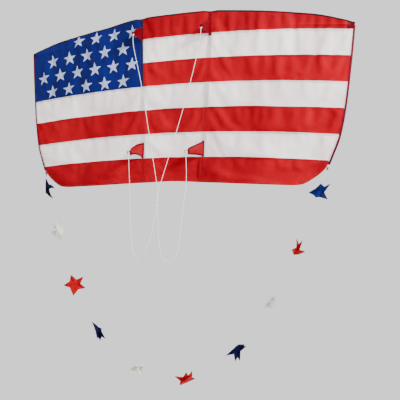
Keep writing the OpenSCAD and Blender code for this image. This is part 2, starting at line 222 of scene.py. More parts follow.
def joined_tubes(name, parts, material):
    """Several tubes in one mesh: parts are (route, radius, sides)."""
    V, F, UV = [], [], []
    for P, r, n in parts:
        v, f, uv = tube_data(P, r, n)
        k = len(V)
        V += v
        UV += uv
        F += [tuple(i + k for i in q) for q in f]
    ob = new_object(name, V, F)
    set_uv(ob, UV)
    ob.data.materials.append(material)
    return ob


def tube(name, P, r, n, material):
    return joined_tubes(name, [(P, r, n)], material)


def lathe(name, profile, at, axis, n, material):
    """profile is (distance along the axis, radius)."""
    w = Vector(axis).normalized()
    q = w.to_track_quat("Z", "Y")
    V, F = [], []
    for d, r in profile:
        for k in range(n):
            a = 2 * math.pi * k / n
            V.append(Vector(at) + q @ Vector((r * math.cos(a), r * math.sin(a), d)))
    m = len(profile)
    for j in range(m - 1):
        for i in range(n):
            k = (i + 1) % n
            F.append((j * n + i, j * n + k, (j + 1) * n + k, (j + 1) * n + i))
    F.append(tuple(range(n - 1, -1, -1)))
    F.append(tuple((m - 1) * n + i for i in range(n)))
    ob = new_object(name, V, F)
    ob.data.materials.append(material)
    return ob


def thicken(ob, thick, offset):
    s = ob.modifiers.new("thickness", "SOLIDIFY")
    s.thickness, s.offset = thick, offset


def grid_object(name, G, material=None, thick=0.0, offset=-1.0):
    """G is rows x columns x 3. thick makes it a closed sheet."""
    m, n = G.shape[:2]
    F = [(j * n + i, (j + 1) * n + i, (j + 1) * n + i + 1, j * n + i + 1)
         for j in range(m - 1) for i in range(n - 1)]
    ob = new_object(name, G.reshape(-1, 3), F)
    if material:
        ob.data.materials.append(material)
    if thick:
        thicken(ob, thick, offset)
    return ob


# ---------------------------------------------------------------- materials
def linear(c):
    return tuple((v / 12.92 if v <= 0.04045 else ((v + 0.055) / 1.055) ** 2.4) for v in c) + (1.0,)


class Nodes:
    def __init__(self, name):
        self.mat = bpy.data.materials.new(name)
        self.mat.use_nodes = True
        self.t = self.mat.node_tree
        self.t.nodes.clear()
        self.out = self.t.nodes.new("ShaderNodeOutputMaterial")

    def add(self, kind, **kw):
        n = self.t.nodes.new(kind)
        for k, v in kw.items():
            setattr(n, k, v)
        return n

    def link(self, a, b):
        self.t.links.new(a, b)

    def math(self, op, a, b=None):
        n = self.add("ShaderNodeMath", operation=op)
        for i, x in enumerate((a, b)):
            if x is None:
                continue
            if isinstance(x, (int, float)):
                n.inputs[i].default_value = x
            else:
                self.link(x, n.inputs[i])
        return n.outputs[0]

    def coords(self, which="Object"):
        return self.add("ShaderNodeTexCoord").outputs[which]

    def noise(self, vec, scale, detail=2.0, stretch=None, rough=0.5):
        if stretch:
            m = self.add("ShaderNodeMapping")
            m.inputs["Scale"].default_value = stretch
            self.link(vec, m.inputs[0])
            vec = m.outputs[0]
        n = self.add("ShaderNodeTexNoise")
        n.inputs["Scale"].default_value = scale
        n.inputs["Detail"].default_value = detail
        n.inputs["Roughness"].default_value = rough
        self.link(vec, n.inputs["Vector"])
        return n.outputs[0]

    def ramp(self, fac, stops):
        n = self.add("ShaderNodeValToRGB")
        e = n.color_ramp.elements
        while len(e) < len(stops):
            e.new(0.5)
        for i, (p, c) in enumerate(stops):
            e[i].position, e[i].color = p, c
        self.link(fac, n.inputs[0])
        return n.outputs[0]

    def split(self, vec):
        n = self.add("ShaderNodeSeparateXYZ")
        self.link(vec, n.inputs[0])
        return n.outputs

    def part(self, fac, share):
        """A share of a value."""
        return self.math("MULTIPLY", fac, share)

    def mix(self, fac, a, b):
        n = self.add("ShaderNodeMix", data_type="RGBA", blend_type="MIX")
        for s, x in ((n.inputs[0], fac), (n.inputs[6], a), (n.inputs[7], b)):
            if isinstance(x, (int, float, tuple)):
                s.default_value = x
            else:
                self.link(x, s)
        return n.outputs[2]

    def bump(self, height, strength, distance, normal=None):
        n = self.add("ShaderNodeBump")
        n.inputs["Strength"].default_value = strength
        n.inputs["Distance"].default_value = distance
        self.link(height, n.inputs["Height"])
        if normal is not None:
            self.link(normal, n.inputs["Normal"])
        return n.outputs[0]

    def surface(self, colour, normal, wear, share, rough, **more):
        """A principled surface that is rough, and rougher by a share of the wear."""
        n = self.add("ShaderNodeBsdfPrincipled")
        self.link(colour, n.inputs["Base Color"])
        self.link(normal, n.inputs["Normal"])
        self.link(self.math("ADD", self.part(wear, share), rough), n.inputs["Roughness"])
        for name, value in more.items():
            n.inputs[name.replace("_", " ")].default_value = value
        return n.outputs[0]

    def made(self, shader):
        self.link(shader, self.out.inputs[0])
        return self.mat


def shade(c, k):
    return tuple(min(1.0, v * k) for v in c[:3]) + (1.0,)


def cloth_material(name, rgb, tint=None, through=0.3, cell=0.005):
    """Ripstop nylon: a square grid of thicker threads in a fine plain weave, with soft colour variation."""
    k = Nodes(name)
    base = linear(rgb)
    tint = linear(tint) if tint else shade(base, 0.86)
    obj = k.coords()
    xyz = k.split(obj)
    lines = [k.math("GREATER_THAN", k.math("FRACT", k.math("DIVIDE", xyz[axis], cell)), 0.90)
             for axis in (0, 2)]
    grid = k.math("MAXIMUM", lines[0], lines[1])
    broad = k.noise(obj, 3.2, 3.0)
    streak = k.noise(obj, 7.0, 3.0, stretch=(1.0, 1.0, 0.28))
    col = k.ramp(k.math("MULTIPLY", broad, streak), [(0.14, tint), (0.34, base)])
    col = k.mix(k.part(grid, 0.16), col, shade(base, 0.70))
    fine = k.noise(obj, 1500.0, 1.0)
    weave = k.bump(k.math("ADD", k.part(grid, 0.6), k.part(fine, 0.5)), 0.22, 0.0002)
    crease = k.noise(obj, 26.0, 4.0, stretch=(1.0, 1.0, 0.55), rough=0.6)
    normal = k.bump(crease, 0.20, 0.004, weave)
    front = k.surface(col, normal, fine, 0.12, 0.44, Specular_IOR_Level=0.06, Sheen_Weight=0.0,
                      Sheen_Roughness=0.4)
    if not through:
        return k.made(front)
    lit = k.add("ShaderNodeBsdfTranslucent")
    k.link(col, lit.inputs["Color"])
    k.link(normal, lit.inputs["Normal"])
    both = k.add("ShaderNodeMixShader")
    both.inputs[0].default_value = through
    k.link(front, both.inputs[1])
    k.link(lit.outputs[0], both.inputs[2])
    return k.made(both.outputs[0])


def webbing_material(name, rgb, pitch=0.0011, contrast=0.55, worn=1.5):
    """Heavy woven tape: crossing ribs, fuzzy and matte."""
    k = Nodes(name)
    base = linear(rgb)
    obj = k.coords()
    x, y, z = k.split(obj)
    a = k.math("SINE", k.part(k.math("ADD", x, y), 2 * math.pi / pitch))
    b = k.math("SINE", k.part(z, 2 * math.pi / (pitch * 1.3)))
    ribs = k.part(k.math("ADD", k.math("MULTIPLY", a, b), 1.0), 0.5)
    fuzz = k.noise(obj, 700.0, 3.0)
    wear = k.noise(obj, 60.0, 3.0)
    col = k.mix(k.part(ribs, contrast), shade(base, 0.55), shade(base, 1.35))
    col = k.mix(k.part(wear, 0.35), col, shade(base, worn))
    normal = k.bump(k.math("ADD", ribs, k.part(fuzz, 0.5)), 0.5, 0.0004)
    return k.made(k.surface(col, normal, fuzz, 0.2, 0.7, Specular_IOR_Level=0.08, Sheen_Weight=0.02))


def braid_material(name, rgb, pitch=0.004):
    """Braided line, laid along the piece's own length."""
    k = Nodes(name)
    base = linear(rgb)
    across, up, _ = k.split(k.coords("UV"))
    along = k.part(up, 2 * math.pi / pitch)
    turned = k.part(across, 2 * math.pi * 3.0)
    a = k.math("SINE", k.math("ADD", along, turned))
    b = k.math("SINE", k.math("SUBTRACT", along, turned))
    weave = k.part(k.math("ADD", k.math("MAXIMUM", a, b), 1.0), 0.5)
    soil = k.noise(k.coords(), 25.0, 3.0)
    col = k.mix(weave, shade(base, 0.72), base)
    col = k.mix(k.part(soil, 0.25), col, shade(base, 0.8))
    normal = k.bump(weave, 0.6, 0.0003)
    return k.made(k.surface(col, normal, soil, 0.2, 0.6, Specular_IOR_Level=0.3, Sheen_Weight=0.2))


def rod_material(name, rgb, streaks=0.35):
    """Pultruded rod: long fibres under resin."""
    k = Nodes(name)
    base = linear(rgb)
    uv = k.coords("UV")
    fibre = k.noise(uv, 40.0, 4.0, stretch=(4.0, 0.15, 1.0))
    fine = k.noise(uv, 300.0, 2.0, stretch=(2.0, 0.1, 1.0))
    col = k.mix(k.part(fibre, streaks), base, shade(base, 1.9))
    normal = k.bump(fine, 0.15, 0.0002)
    return k.made(k.surface(col, normal, fibre, 0.25, 0.25, Coat_Weight=0.3, Coat_Roughness=0.2))


def metal_material(name, rgb):
    """Drawn tube, with fine lines round it and dull marks."""
    k = Nodes(name)
    base = linear(rgb)
    obj = k.coords()
    brush = k.noise(obj, 900.0, 2.0, stretch=(0.05, 1.0, 1.0))
    marks = k.noise(obj, 80.0, 3.0)
    col = k.mix(k.part(marks, 0.3), base, shade(base, 0.7))
    return k.made(k.surface(col, k.bump(brush, 0.2, 0.0001), brush, 0.2, 0.2, Metallic=1.0))


def rubber_material(name, rgb):
    """Moulded rubber, finely grained and a little dusty."""
    k = Nodes(name)
    base = linear(rgb)
    obj = k.coords()
    grain = k.noise(obj, 1200.0, 2.0)
    dust = k.noise(obj, 90.0, 3.0)
    col = k.mix(k.part(dust, 0.3), base, shade(base, 2.0))
    return k.made(k.surface(col, k.bump(grain, 0.2, 0.0002), dust, 0.2, 0.55))


RED, RED_DEEP = (0.70, 0.0, 0.11), (0.60, 0.0, 0.09)
WHITE, WHITE_TINT = (0.955, 0.93, 0.93), (0.90, 0.845, 0.85)
LOOK = {
    "red": cloth_material("ripstop_red", RED, RED_DEEP, 0.42),
    "white": cloth_material("ripstop_white", WHITE, WHITE_TINT, 0.50),
    "blue": cloth_material("ripstop_blue", (0.07, 0.11, 0.42), (0.05, 0.08, 0.33), 0.25),
    # painted shade: the canton seam's fold is near-black navy where the left spine shows through
    "navy_fold_painted_shade": cloth_material("navy_fold_painted_shade", (0.03, 0.03, 0.17), (0.02, 0.02, 0.12), 0.03),
    "pale": cloth_material("applique_pale", (0.66, 0.71, 0.84), (0.58, 0.63, 0.77), 0.10),
    "fold_red": cloth_material("fold_red", (0.62, 0.0, 0.07), (0.52, 0.0, 0.05), 0.12),
    "keel": cloth_material("keel_red", (0.60, 0.0, 0.08), (0.50, 0.0, 0.06), 0.12),
    # painted shade: a darker copy of the keel red, for the upper keels
    "keel_painted_shade": cloth_material("keel_red_painted_shade", (0.42, 0.0, 0.06), (0.34, 0.0, 0.05), 0.08),
    "hem_dark": webbing_material("hem_dark", (0.17, 0.02, 0.06), contrast=0.3, worn=1.15),
    "maroon": cloth_material("sleeve_maroon", (0.36, 0.0, 0.10), (0.25, 0.0, 0.07), 0.05, cell=0.003),
    "sleeve": cloth_material("sleeve_tape", (0.26, 0.0, 0.05), (0.20, 0.0, 0.04), 0.03, cell=0.003),
    # painted shadow: the right corner patch's darker red stands in for the wing pocket seen through the cloth
    "corner_red_painted_shadow": cloth_material("corner_red_painted_shadow", (0.36, 0.0, 0.06), (0.26, 0.0, 0.05), 0.05),
    # painted shade: the darker red band at the upper right keel stands in for the spine seen through the
    # cloth
    "spine_shadow_band_red": cloth_material("spine_shadow_band_red", (0.52, 0.0, 0.08), (0.44, 0.0, 0.06), 0.20),
    "pocket": webbing_material("pocket_dark", (0.13, 0.09, 0.09), pitch=0.0016),
    "tie": webbing_material("tie_black", (0.11, 0.11, 0.11)),
    "tape": webbing_material("keel_tape", (0.34, 0.0, 0.05), contrast=0.3, worn=1.15),
    "bridle": braid_material("bridle_cord", (0.945, 0.925, 0.90)),
    "tail": braid_material("tail_line", (0.80, 0.79, 0.79), pitch=0.003),
    "carbon": rod_material("carbon_rod", (0.13, 0.13, 0.14)),
    "glass": rod_material("glass_rod", (0.82, 0.79, 0.68), streaks=0.2),
    "alu": metal_material("ferrule_metal", (0.80, 0.81, 0.83)),
    "rubber": rubber_material("cap_black", (0.11, 0.11, 0.12)),
    "star_blue": cloth_material("star_blue", (0.06, 0.12, 0.40), (0.04, 0.08, 0.30), 0.10, cell=0.004),
    "star_navy": cloth_material("star_navy", (0.04, 0.05, 0.25), (0.03, 0.03, 0.16), 0.05, cell=0.004),
    "star_red": cloth_material("star_red", (0.66, 0.0, 0.06), (0.54, 0.0, 0.05), 0.18, cell=0.004),
    "star_white": cloth_material("star_white", (0.87, 0.86, 0.82), (0.78, 0.76, 0.70), 0.20, cell=0.004),
}
THREADS = {"red": (0.80, 0.06, 0.10), "white": (0.93, 0.90, 0.90), "blue": (0.16, 0.20, 0.52),
           "dark": (0.17, 0.05, 0.08), "keel": (0.44, 0.01, 0.06)}
EDGES = {"blue": (0.03, 0.06, 0.30), "navy": (0.03, 0.03, 0.16), "red": (0.42, 0.0, 0.05),
         "white": (0.70, 0.68, 0.62)}
for tint, rgb in THREADS.items():
    LOOK["thread_" + tint] = braid_material("thread_" + tint, rgb, pitch=0.001)
for tint, rgb in EDGES.items():
    LOOK["edge_" + tint] = cloth_material("edge_" + tint, rgb, None, 0.0, cell=0.004)

# ---------------------------------------------------------------- cords first
# each keel's side, the height of its root's top, and how many degrees it leans from straight ahead
KEELS = {"upper_left": (-1, 0.038, 4), "upper_right": (1, 0.038, 10), "lower_left": (-1, -0.508, 27),
         "lower_right": (1, -0.508, 48)}
KEEL_DEPTH, KEEL_ROOT, TIP_MID, LOOP_OUT = 0.072, 0.065, -0.050, 0.008
# the sail, the tape sewn to it, and the distance from there to the hinge's line
KEEL_STANDS_OFF = 0.0008 + 0.0006 + 0.0013


def keel_axis(name):
    """The top of a keel's hinge line."""
    s, z, _ = KEELS[name]
    x = s * float(spine_x(z - KEEL_ROOT / 2))
    return np.array([x, float(back_y(x)) - KEEL_STANDS_OFF, z])


def keel_ways(name):
    """The way a keel stands out from the sail, and the way its right side faces."""
    lean = math.radians(KEELS[name][2])
    out = np.array([-math.sin(lean), -math.cos(lean), 0])
    return out, np.array([math.cos(lean), -math.sin(lean), 0])


def keel_point(name, d, h):
    """A point of a keel: d out from the root, h up from the root's top."""
    return keel_axis(name) + d * keel_ways(name)[0] + np.array([0, 0, h])


def bridle_start(name):
    """The lowest point of a keel's loop, where its leg of the bridle is tied."""
    return keel_point(name, KEEL_DEPTH + LOOP_OUT, TIP_MID - 0.0088)


BRIDLE = {
    "upper_left": [(-.170, -.088, -.080), (-.123, -.088, -.268), (-.080, -.089, -.484),
                   (-.040, -.089, -.686), (-.031, -.089, -.728), (-.035, -.089, -.789)],
    "upper_right": [(.148, -.087, -.090), (.111, -.088, -.256), (.053, -.089, -.468),
                    (-.014, -.089, -.686), (-.026, -.089, -.728), (-.031, -.089, -.789)],
    "lower_left": [(-.177, -.077, -.700), (-.168, -.081, -.820), (-.158, -.085, -.930),
                   (-.149, -.087, -.990), (-.132, -.088, -1.024), (-.112, -.089, -1.026),
                   (-.088, -.089, -1.006), (-.064, -.089, -.955), (-.048, -.089, -.880),
                   (-.036, -.089, -.805)],
    "lower_right": [(.093, -.064, -.692), (.084, -.072, -.810), (.078, -.080, -.900),
                    (.073, -.084, -.970), (.064, -.086, -1.014), (.043, -.088, -1.038),
                    (.020, -.089, -1.041), (0, -.089, -1.028), (-.017, -.089, -.975),
                    (-.025, -.089, -.890), (-.031, -.089, -.805)],
}
KNOT = np.array([-0.033, -0.089, -0.797])


def knot_tube(name, at, size, r, material, axis=(0, 0, 1), squash=(1, 1, 1.2)):
    """An overhand knot pulled snug: a trefoil of the cord itself."""
    t = np.linspace(0, 2 * np.pi, 73)[:-1]
    K = np.stack([np.sin(t) + 2 * np.sin(2 * t), np.cos(t) - 2 * np.cos(2 * t), -1.15 * np.sin(3 * t)], 1)
    K = K / 3.0 * size * np.array(squash)
    q = Vector(axis).normalized().to_track_quat("Z", "Y")
    R = np.array(q.to_matrix())
    P = np.array(at) + K @ R.T
    n, V, F, UV = 8, [], [], []
    T = np.roll(P, -1, 0) - np.roll(P, 1, 0)
    T /= np.linalg.norm(T, axis=1)[:, None]
    up = P - P.mean(0)
    s = 0.0
    for i in range(len(P)):
        u = up[i] - T[i] * np.dot(up[i], T[i])
        u /= np.linalg.norm(u)
        v = np.cross(T[i], u)
        for k in range(n):
            a = 2 * np.pi * k / n
            V.append(P[i] + r * (math.cos(a) * u + math.sin(a) * v))
            UV.append((k / n, s))
        s += np.linalg.norm(P[(i + 1) % len(P)] - P[i])
    m = len(P)
    for j in range(m):
        for i in range(n):
            k = (i + 1) % n
            F.append((j * n + i, j * n + k, ((j + 1) % m) * n + k, ((j + 1) % m) * n + i))
    ob = new_object(name, V, F)
    set_uv(ob, UV)
    ob.data.materials.append(material)
    return ob


def bridle_leg(leg, stations):
    """One leg of the bridle, from its keel's loop down to the tow knot, with a tie at its top that rides the
    keel.
    """
    first = bridle_start(leg)
    route = catmull([first] + [np.array(p) for p in stations], 8)
    ob = tube(f"bridle_{leg}_line", route, BRIDLE_D / 2, 10, LOOK["bridle"])
    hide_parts(f"bridle_{leg}")
    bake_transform(ob)
    tie = knot_tube(f"bridle_{leg}_tie", first + np.array([0, 0, 0.0012]), 0.0034, 0.0009, LOOK["bridle"],
                    axis=(0.2, 0.3, 1))
    place(tie, f"keel_{leg}", "bridle_cord")


for leg, stations in BRIDLE.items():
    bridle_leg(leg, stations)
knot = knot_tube("tow_knot_cord", KNOT, 0.0072, 0.0011, LOOK["bridle"], axis=(0.1, 0, 1),
                 squash=(0.62, 0.62, 1.0))
place(knot, "kite", "bridle_cord", "tow_knot")
leg_knot = knot_tube("bridle_leg_knot", (-0.0655, -0.089, -0.9585), 0.0030, 0.0009, LOOK["bridle"],
                     axis=(0.3, 0, 1))
place(leg_knot, "kite", "bridle_cord")

# tail line and its route
TAIL_Y = float(back_y(0.691)) + ROD_GAP
ROD_END = np.array([0.691, TAIL_Y, -0.612 - float(droop(0.691))])
ROD_BEFORE = np.array([0.697, float(back_y(0.697)) + ROD_GAP, -0.597 - float(droop(0.697))])
ROD_DIR = (ROD_END - ROD_BEFORE) / np.linalg.norm(ROD_END - ROD_BEFORE)
TAIL_END = ROD_END + 0.0062 * ROD_DIR
TAIL = [(-TAIL_END[0], TAIL_END[2]), (-.664, -.765), (-.612, -.925), (-.531, -1.113), (-.480, -1.215),
        (-.403, -1.339), (-.326, -1.424),
        (-.229, -1.497), (-.121, -1.544), (0, -1.556), (.085, -1.550), (.140, -1.529), (.201, -1.490),
        (.262, -1.445), (.325, -1.380),
        (.425, -1.240), (.500, -1.110), (.555, -1.000), (.600, -.890), (.640, -.780),
        (TAIL_END[0], TAIL_END[2])]
TAIL = np.array([(x, TAIL_Y, z) for x, z in TAIL])
tail_route = catmull(TAIL, 5)
tail_line = tube("tail_line", tail_route, TAIL_D / 2, 8, LOOK["tail"])
place(tail_line, "tail", "tail_line", "tail_cord")

# Ten cloth stars on the line. Each is limp, and its pose was read off and listed: the route's leg it
# hangs on and how far along that leg, its colour, and how far its middle lies off the line, in millimetres.
# Then its five arms, one after the other round it, as seen from the camera's side: the way the arm points in
# degrees from the right, how much of its length shows, whether the rest turns forward or back, how far its
# end hooks round, and the angle and distance of the notch that follows it.
STARS = [
    (0, 0.62, "navy", (-5, 7),
     [(100, 54, -1, 0, 130, 17), (180, 10, 1, 0, 212, 12), (-120, 22, -1, 0, -95, 27),
      (-70, 54, 1, 10, -20, 7), (27, 34, 1, -32, 75, 23)]),
    (1, 0.98, "white", (0, 3),
     [(103, 52, -1, 0, 145, 23), (165, 22, 1, 0, 183, 20), (200, 32, -1, 0, 245, 27),
      (-72, 54, 1, 0, -43, 27), (9, 33, -1, 0, 74, 25)]),
    (3, 0.60, "red", (-4, 0),
     [(113, 49, -1, 0, 150, 29), (186, 55, 1, 0, 212, 29), (-98, 55, 1, 0, -56, 29),
      (-19, 54, -1, 0, 6, 26), (42, 54, 1, 0, 70, 24)]),
    (5, 0.50, "navy", (-1, -4),
     [(124, 55, -1, 6, 180, 17), (-105, 35, 1, 0, -94, 31), (-83, 46, -1, 0, -66, 29),
      (-51, 47, 1, 0, -12, 12), (42, 16, 1, 0, 98, 18)]),
    (7, 0.72, "white", (-4, -5),
     [(146, 24, 1, 0, 172, 22), (196, 42, -1, 0, 250, 17), (-81, 38, 1, 0, -39, 22),
      (-6, 22, -1, 0, 13, 22), (32, 40, -1, 0, 88, 12)]),
    (10, 0.10, "red", (-7, -14),
     [(95, 29, 1, 0, 155, 18), (171, 55, -1, -5, 197, 30), (-137, 42, 1, 0, -98, 18),
      (0, 37, -1, 0, 18, 24), (50, 41, 1, 8, 68, 16)]),
    (13, 0.62, "navy", (12, -12),
     [(37, 38, 1, 0, 79, 23), (207, 55, -1, 0, 230, 23), (-100, 50, 1, 0, -88, 32),
      (-76, 50, -1, 0, -25, 15), (22, 41, 1, 0, 29, 32)]),
    (15, 0.28, "white", (12, -2),
     [(82, 24, 1, 0, 150, 13), (215, 35, -1, 0, 240, 21), (-104, 23, -1, 0, -90, 23),
      (-74, 30, -1, 0, 5, 16), (57, 35, 1, 0, 70, 20)]),
    (17, 0.25, "red", (1, -10),
     [(88, 51, -1, 6, 100, 14), (165, 22, 1, 0, 205, 18), (-128, 21, -1, 0, -62, 17),
      (-10, 34, 1, 8, 27, 12), (61, 49, 1, 0, 74, 29)]),
    (19, 0.40, "blue", (4, -10),
     [(88, 36, 1, 0, 143, 26), (181, 50, -1, 0, 203, 30), (-135, 29, 1, 0, -96, 20),
      (-45, 43, -1, 0, 0, 15), (41, 55, 1, 0, 54, 28)]),
]
STAR_R, CANTON_INNER, TAIL_INNER = 0.055, 0.39, 0.50
SIDEWAYS = np.array(camera.matrix_world.to_3x3().col[0])
UPWARD = np.array(camera.matrix_world.to_3x3().col[1])


def star_outline(r, turn, inner, per_edge=6):
    """Points round a flat star, its first arm turned from the upright."""
    pts = []
    for i in range(10):
        q = r if i % 2 == 0 else r * inner
        a = math.radians(90 + turn + 36 * i)
        pts.append(np.array([q * math.cos(a), q * math.sin(a)]))
    out = []
    for i in range(10):
        a, b = pts[i], pts[(i + 1) % 10]
        for j in range(per_edge):
            t = j / per_edge
            out.append(a * (1 - t) + b * t)
    return np.array(out)


def ringed(n, rings):
    """Faces of a disc of rings with n points each, its centre first."""
    F = [(0, 1 + i, 1 + (i + 1) % n) for i in range(n)]
    for k in range(rings - 1):
        a, b = 1 + k * n, 1 + (k + 1) * n
        F += [(a + i, b + i, b + (i + 1) % n, a + (i + 1) % n) for i in range(n)]
    return F


def star_disc(outline, rings):
    """Vertices and faces of a disc with the outline's shape, its centre first."""
    V = [np.zeros(outline.shape[1])]
    for k in range(1, rings + 1):
        V += list(outline * (k / rings))
    return np.array(V), ringed(len(outline), rings)


def limp_star(arms, seed, rings=14, per_edge=10):
    """A limp star's points, as (sideways, upward, towards the viewer), its faces and its rim's length."""
    pts, turns = [], []
    for i, (angle, seen, way, hook, notch_angle, notch) in enumerate(arms):
        for a, d, full, side in ((angle, seen, STAR_R, way),
                                 (notch_angle, notch, STAR_R * TAIL_INNER, 1 if i % 2 else -1)):
            a, d = math.radians(a), d / 1000
            depth = side * math.sqrt(max(0, full ** 2 - d ** 2))
            pts.append(np.array([d * math.cos(a), d * math.sin(a), depth]))
        turns += [math.radians(hook), 0.0]
    rim, turn = [], []
    for i in range(10):
        for j in range(per_edge):
            t = j / per_edge
            rim.append(pts[i] * (1 - t) + pts[(i + 1) % 10] * t)
            turn.append(turns[i] * (1 - t) ** 2 + turns[(i + 1) % 10] * t ** 2)
    rim, turn = np.array(rim), np.array(turn)
    n = len(rim)
    rng = np.random.default_rng(seed)
    ph = rng.uniform(0, 6.28, 4)
    V = [np.zeros(3)]
    theta = np.arange(n) / n * 2 * np.pi
    for k in range(1, rings + 1):
        f = k / rings
        P = rim * f
        P[:, 2] = rim[:, 2] * f ** 1.7
        # the ends of the arms hook round in the picture's plane
        h = turn * f ** 2
        c, d = np.cos(h), np.sin(h)
        P[:, :2] = np.stack([P[:, 0] * c - P[:, 1] * d, P[:, 0] * d + P[:, 1] * c], 1)
        waves = (np.sin(5 * theta + ph[0]) + 0.7 * np.sin(9 * theta + ph[1] + 3 * f)
                 + 0.5 * np.sin(13 * theta + ph[2] - 4 * f))
        P[:, 2] += 0.0022 * f * waves
        V += list(P)
    return np.array(V), ringed(n, rings), n


fine_route = resample(tail_route, 2400)


def tail_star(number, leg, share, tint, off_line, arms):
    """One cloth star on the tail line, its edge, and the two stops that hold it in place."""
    name, (dx, dy) = f"tail_star_{number}", off_line
    at = TAIL[leg] + (TAIL[leg + 1] - TAIL[leg]) * share
    V3, F, n = limp_star(arms, 39 + number)
    along = (TAIL[leg + 1] - TAIL[leg]) / np.linalg.norm(TAIL[leg + 1] - TAIL[leg])
    # the star leans with the line and its cloth passes in front of it
    sight = np.array(camera.matrix_world.translation) - at
    sight /= np.linalg.norm(sight)
    seen_along = np.linalg.solve(np.stack([SIDEWAYS, UPWARD, sight], 1), along)
    slope = seen_along[2] / np.linalg.norm(seen_along[:2])
    seen_along = seen_along[:2] / np.linalg.norm(seen_along[:2])
    V3[:, 2] += V3[:, :2] @ seen_along * slope
    from_line = V3[:, :2] + np.array([dx, dy]) / 1000
    beside = np.abs(from_line[:, 0] * seen_along[1] - from_line[:, 1] * seen_along[0])
    line_depth = from_line @ seen_along * slope
    V3[:, 2] = np.maximum(V3[:, 2], line_depth + 0.0012 - np.maximum(0, beside - 0.004))
    middle = at + SIDEWAYS * dx / 1000 + UPWARD * dy / 1000 + sight * 0.0022
    P3 = middle + V3[:, :1] * SIDEWAYS + V3[:, 1:2] * UPWARD + V3[:, 2:] * sight
    ob = new_object(name + "_cloth", P3, F)
    ob.data.materials.append(LOOK["star_" + tint])
    thicken(ob, 0.0004, 0.0)
    rim = P3[-n:]
    edge = tube(name + "_edge", np.vstack([rim, rim[:1]]), 0.0006, 6, LOOK["edge_" + tint])
    slot = "star_blue" if tint == "navy" else "star_" + tint
    place(ob, "tail", slot, name)
    place(edge, "tail", slot)
    for side, nm in ((-1, "a"), (1, "b")):
        want = at + side * along * 0.008
        on_line = fine_route[np.argmin(np.linalg.norm(fine_route - want, axis=1))]
        bead = knot_tube(f"{name}_stop_{nm}", on_line, 0.0014, 0.0005, LOOK["tail"], axis=along)
        place(bead, "tail", "tail_line")


for i, row in enumerate(STARS):
    tail_star(i + 1, *row)

for side, nm in ((-1, "left"), (1, "right")):
    at = TAIL_END * np.array([side, 1, 1])
    tie = knot_tube(f"tail_tie_{nm}", at + np.array([-side * 0.0010, 0, -0.0025]), 0.0030, 0.0008,
                    LOOK["tail"], axis=(0.2 * side, 0.2, 1))
    place(tie, "tail", "tail_line")

# ---------------------------------------------------------------- how the cloth lies
GRID, U0, U1, W0, W1 = 0.010, -0.81, 0.81, -0.70, 0.10
SEAM_HOLD = 0.35  # how firmly a seam holds the slack cloth, where a spine holds it at 1


def outline_w(points, u):
    """The height of an outline over u."""
    P = np.array(points)
    return np.interp(np.abs(u), P[:, 0], P[:, 1])


def edge_u(w):
    """Half-width of the sail at w."""
    P = np.array(SIDE)[::-1]
    return np.interp(w, P[:, 1], P[:, 0])


def top_w(u):
    """The leading edge over u."""
    P = catmull(LEAD, 6)
    return np.interp(np.abs(u), P[:, 0], P[:, 1])


def foot_curve(n):
    """The foot from the middle to the right side rod, as even steps of length."""
    P = catmull([(-.142, -.689)] + FOOT[::-1], 6)
    P = P[P[:, 0] >= 0]
    P = np.vstack([[0, -.684], P])
    return resample(P, n)


def smooth(x, a, b):
    """0 up to a, 1 from b on, and a smooth step between."""
    t = np.clip((x - a) / (b - a), 0, 1)
    return t * t * (3 - 2 * t)


def slack_cloth(U, W):
    """Hangs the sail from its edges, spines and seams with a little spare cloth: how far it moves back."""
    rng = np.random.default_rng(7)
    seed = rng.normal(0, 0.0007, U.shape)
    for _ in range(2):
        seed = (seed + np.roll(seed, 1, 0) + np.roll(seed, -1, 0) + np.roll(seed, 1, 1)
                + np.roll(seed, -1, 1)) / 5
    Y = back_y(U) + 3 * seed
    V = np.stack([U, Y, W - droop(U)], -1)
    ob = grid_object("slack", V)
    inside = (W < top_w(U) - 0.004) & (W > outline_w(FOOT[::-1], U) + 0.004)
    inside &= np.abs(U) < edge_u(W) - 0.006
    inside &= ~((np.abs(U) > .68) & (W < -.60))
    pin = np.where(inside, 0.0, 1.0)
    pin[np.abs(np.abs(U) - spine_x(W)) < 0.0075] = 1.0
    for s in SEAM_W:
        near = np.abs(W - s) < 0.0055
        pin[near & inside] = np.maximum(pin[near & inside], SEAM_HOLD)
    for s, z, _ in KEELS.values():
        near = (np.abs(U - s * spine_x(z)) < 0.02) & (W < z + 0.01) & (W > z - KEEL_ROOT - 0.01)
        pin[near] = 1.0
    group = ob.vertex_groups.new(name="pin")
    flat = pin.ravel()
    for value in (1.0, SEAM_HOLD):
        group.add([int(i) for i in np.nonzero(np.isclose(flat, value))[0]], value, "REPLACE")
    m = ob.modifiers.new("cloth", "CLOTH")
    c = m.settings
    c.quality, c.mass = 6, 0.08
    c.tension_stiffness, c.compression_stiffness, c.shear_stiffness, c.bending_stiffness = 12, 12, 4, 0.12
    c.vertex_group_mass, c.pin_stiffness = "pin", 1.0
    c.shrink_min = -0.019
    c.use_pressure = False
    c.effector_weights.gravity = 0.6
    m.point_cache.frame_start, m.point_cache.frame_end = 1, 40
    for f in range(1, 31):
        scene.frame_set(f)
    got = ob.evaluated_get(bpy.context.evaluated_depsgraph_get())
    co = np.empty(len(got.data.vertices) * 3)
    got.data.vertices.foreach_get("co", co)
    co = co.reshape(U.shape + (3,))
    D = co[..., 1] - back_y(U)
    scene.frame_set(1)
    bpy.data.objects.remove(ob, do_unlink=True)
    D = np.where(inside, D, 0.0)
    P = np.pad(D, 1, mode="edge")
    return (4 * P[1:-1, 1:-1] + P[:-2, 1:-1] + P[2:, 1:-1] + P[1:-1, :-2] + P[1:-1, 2:]) / 8


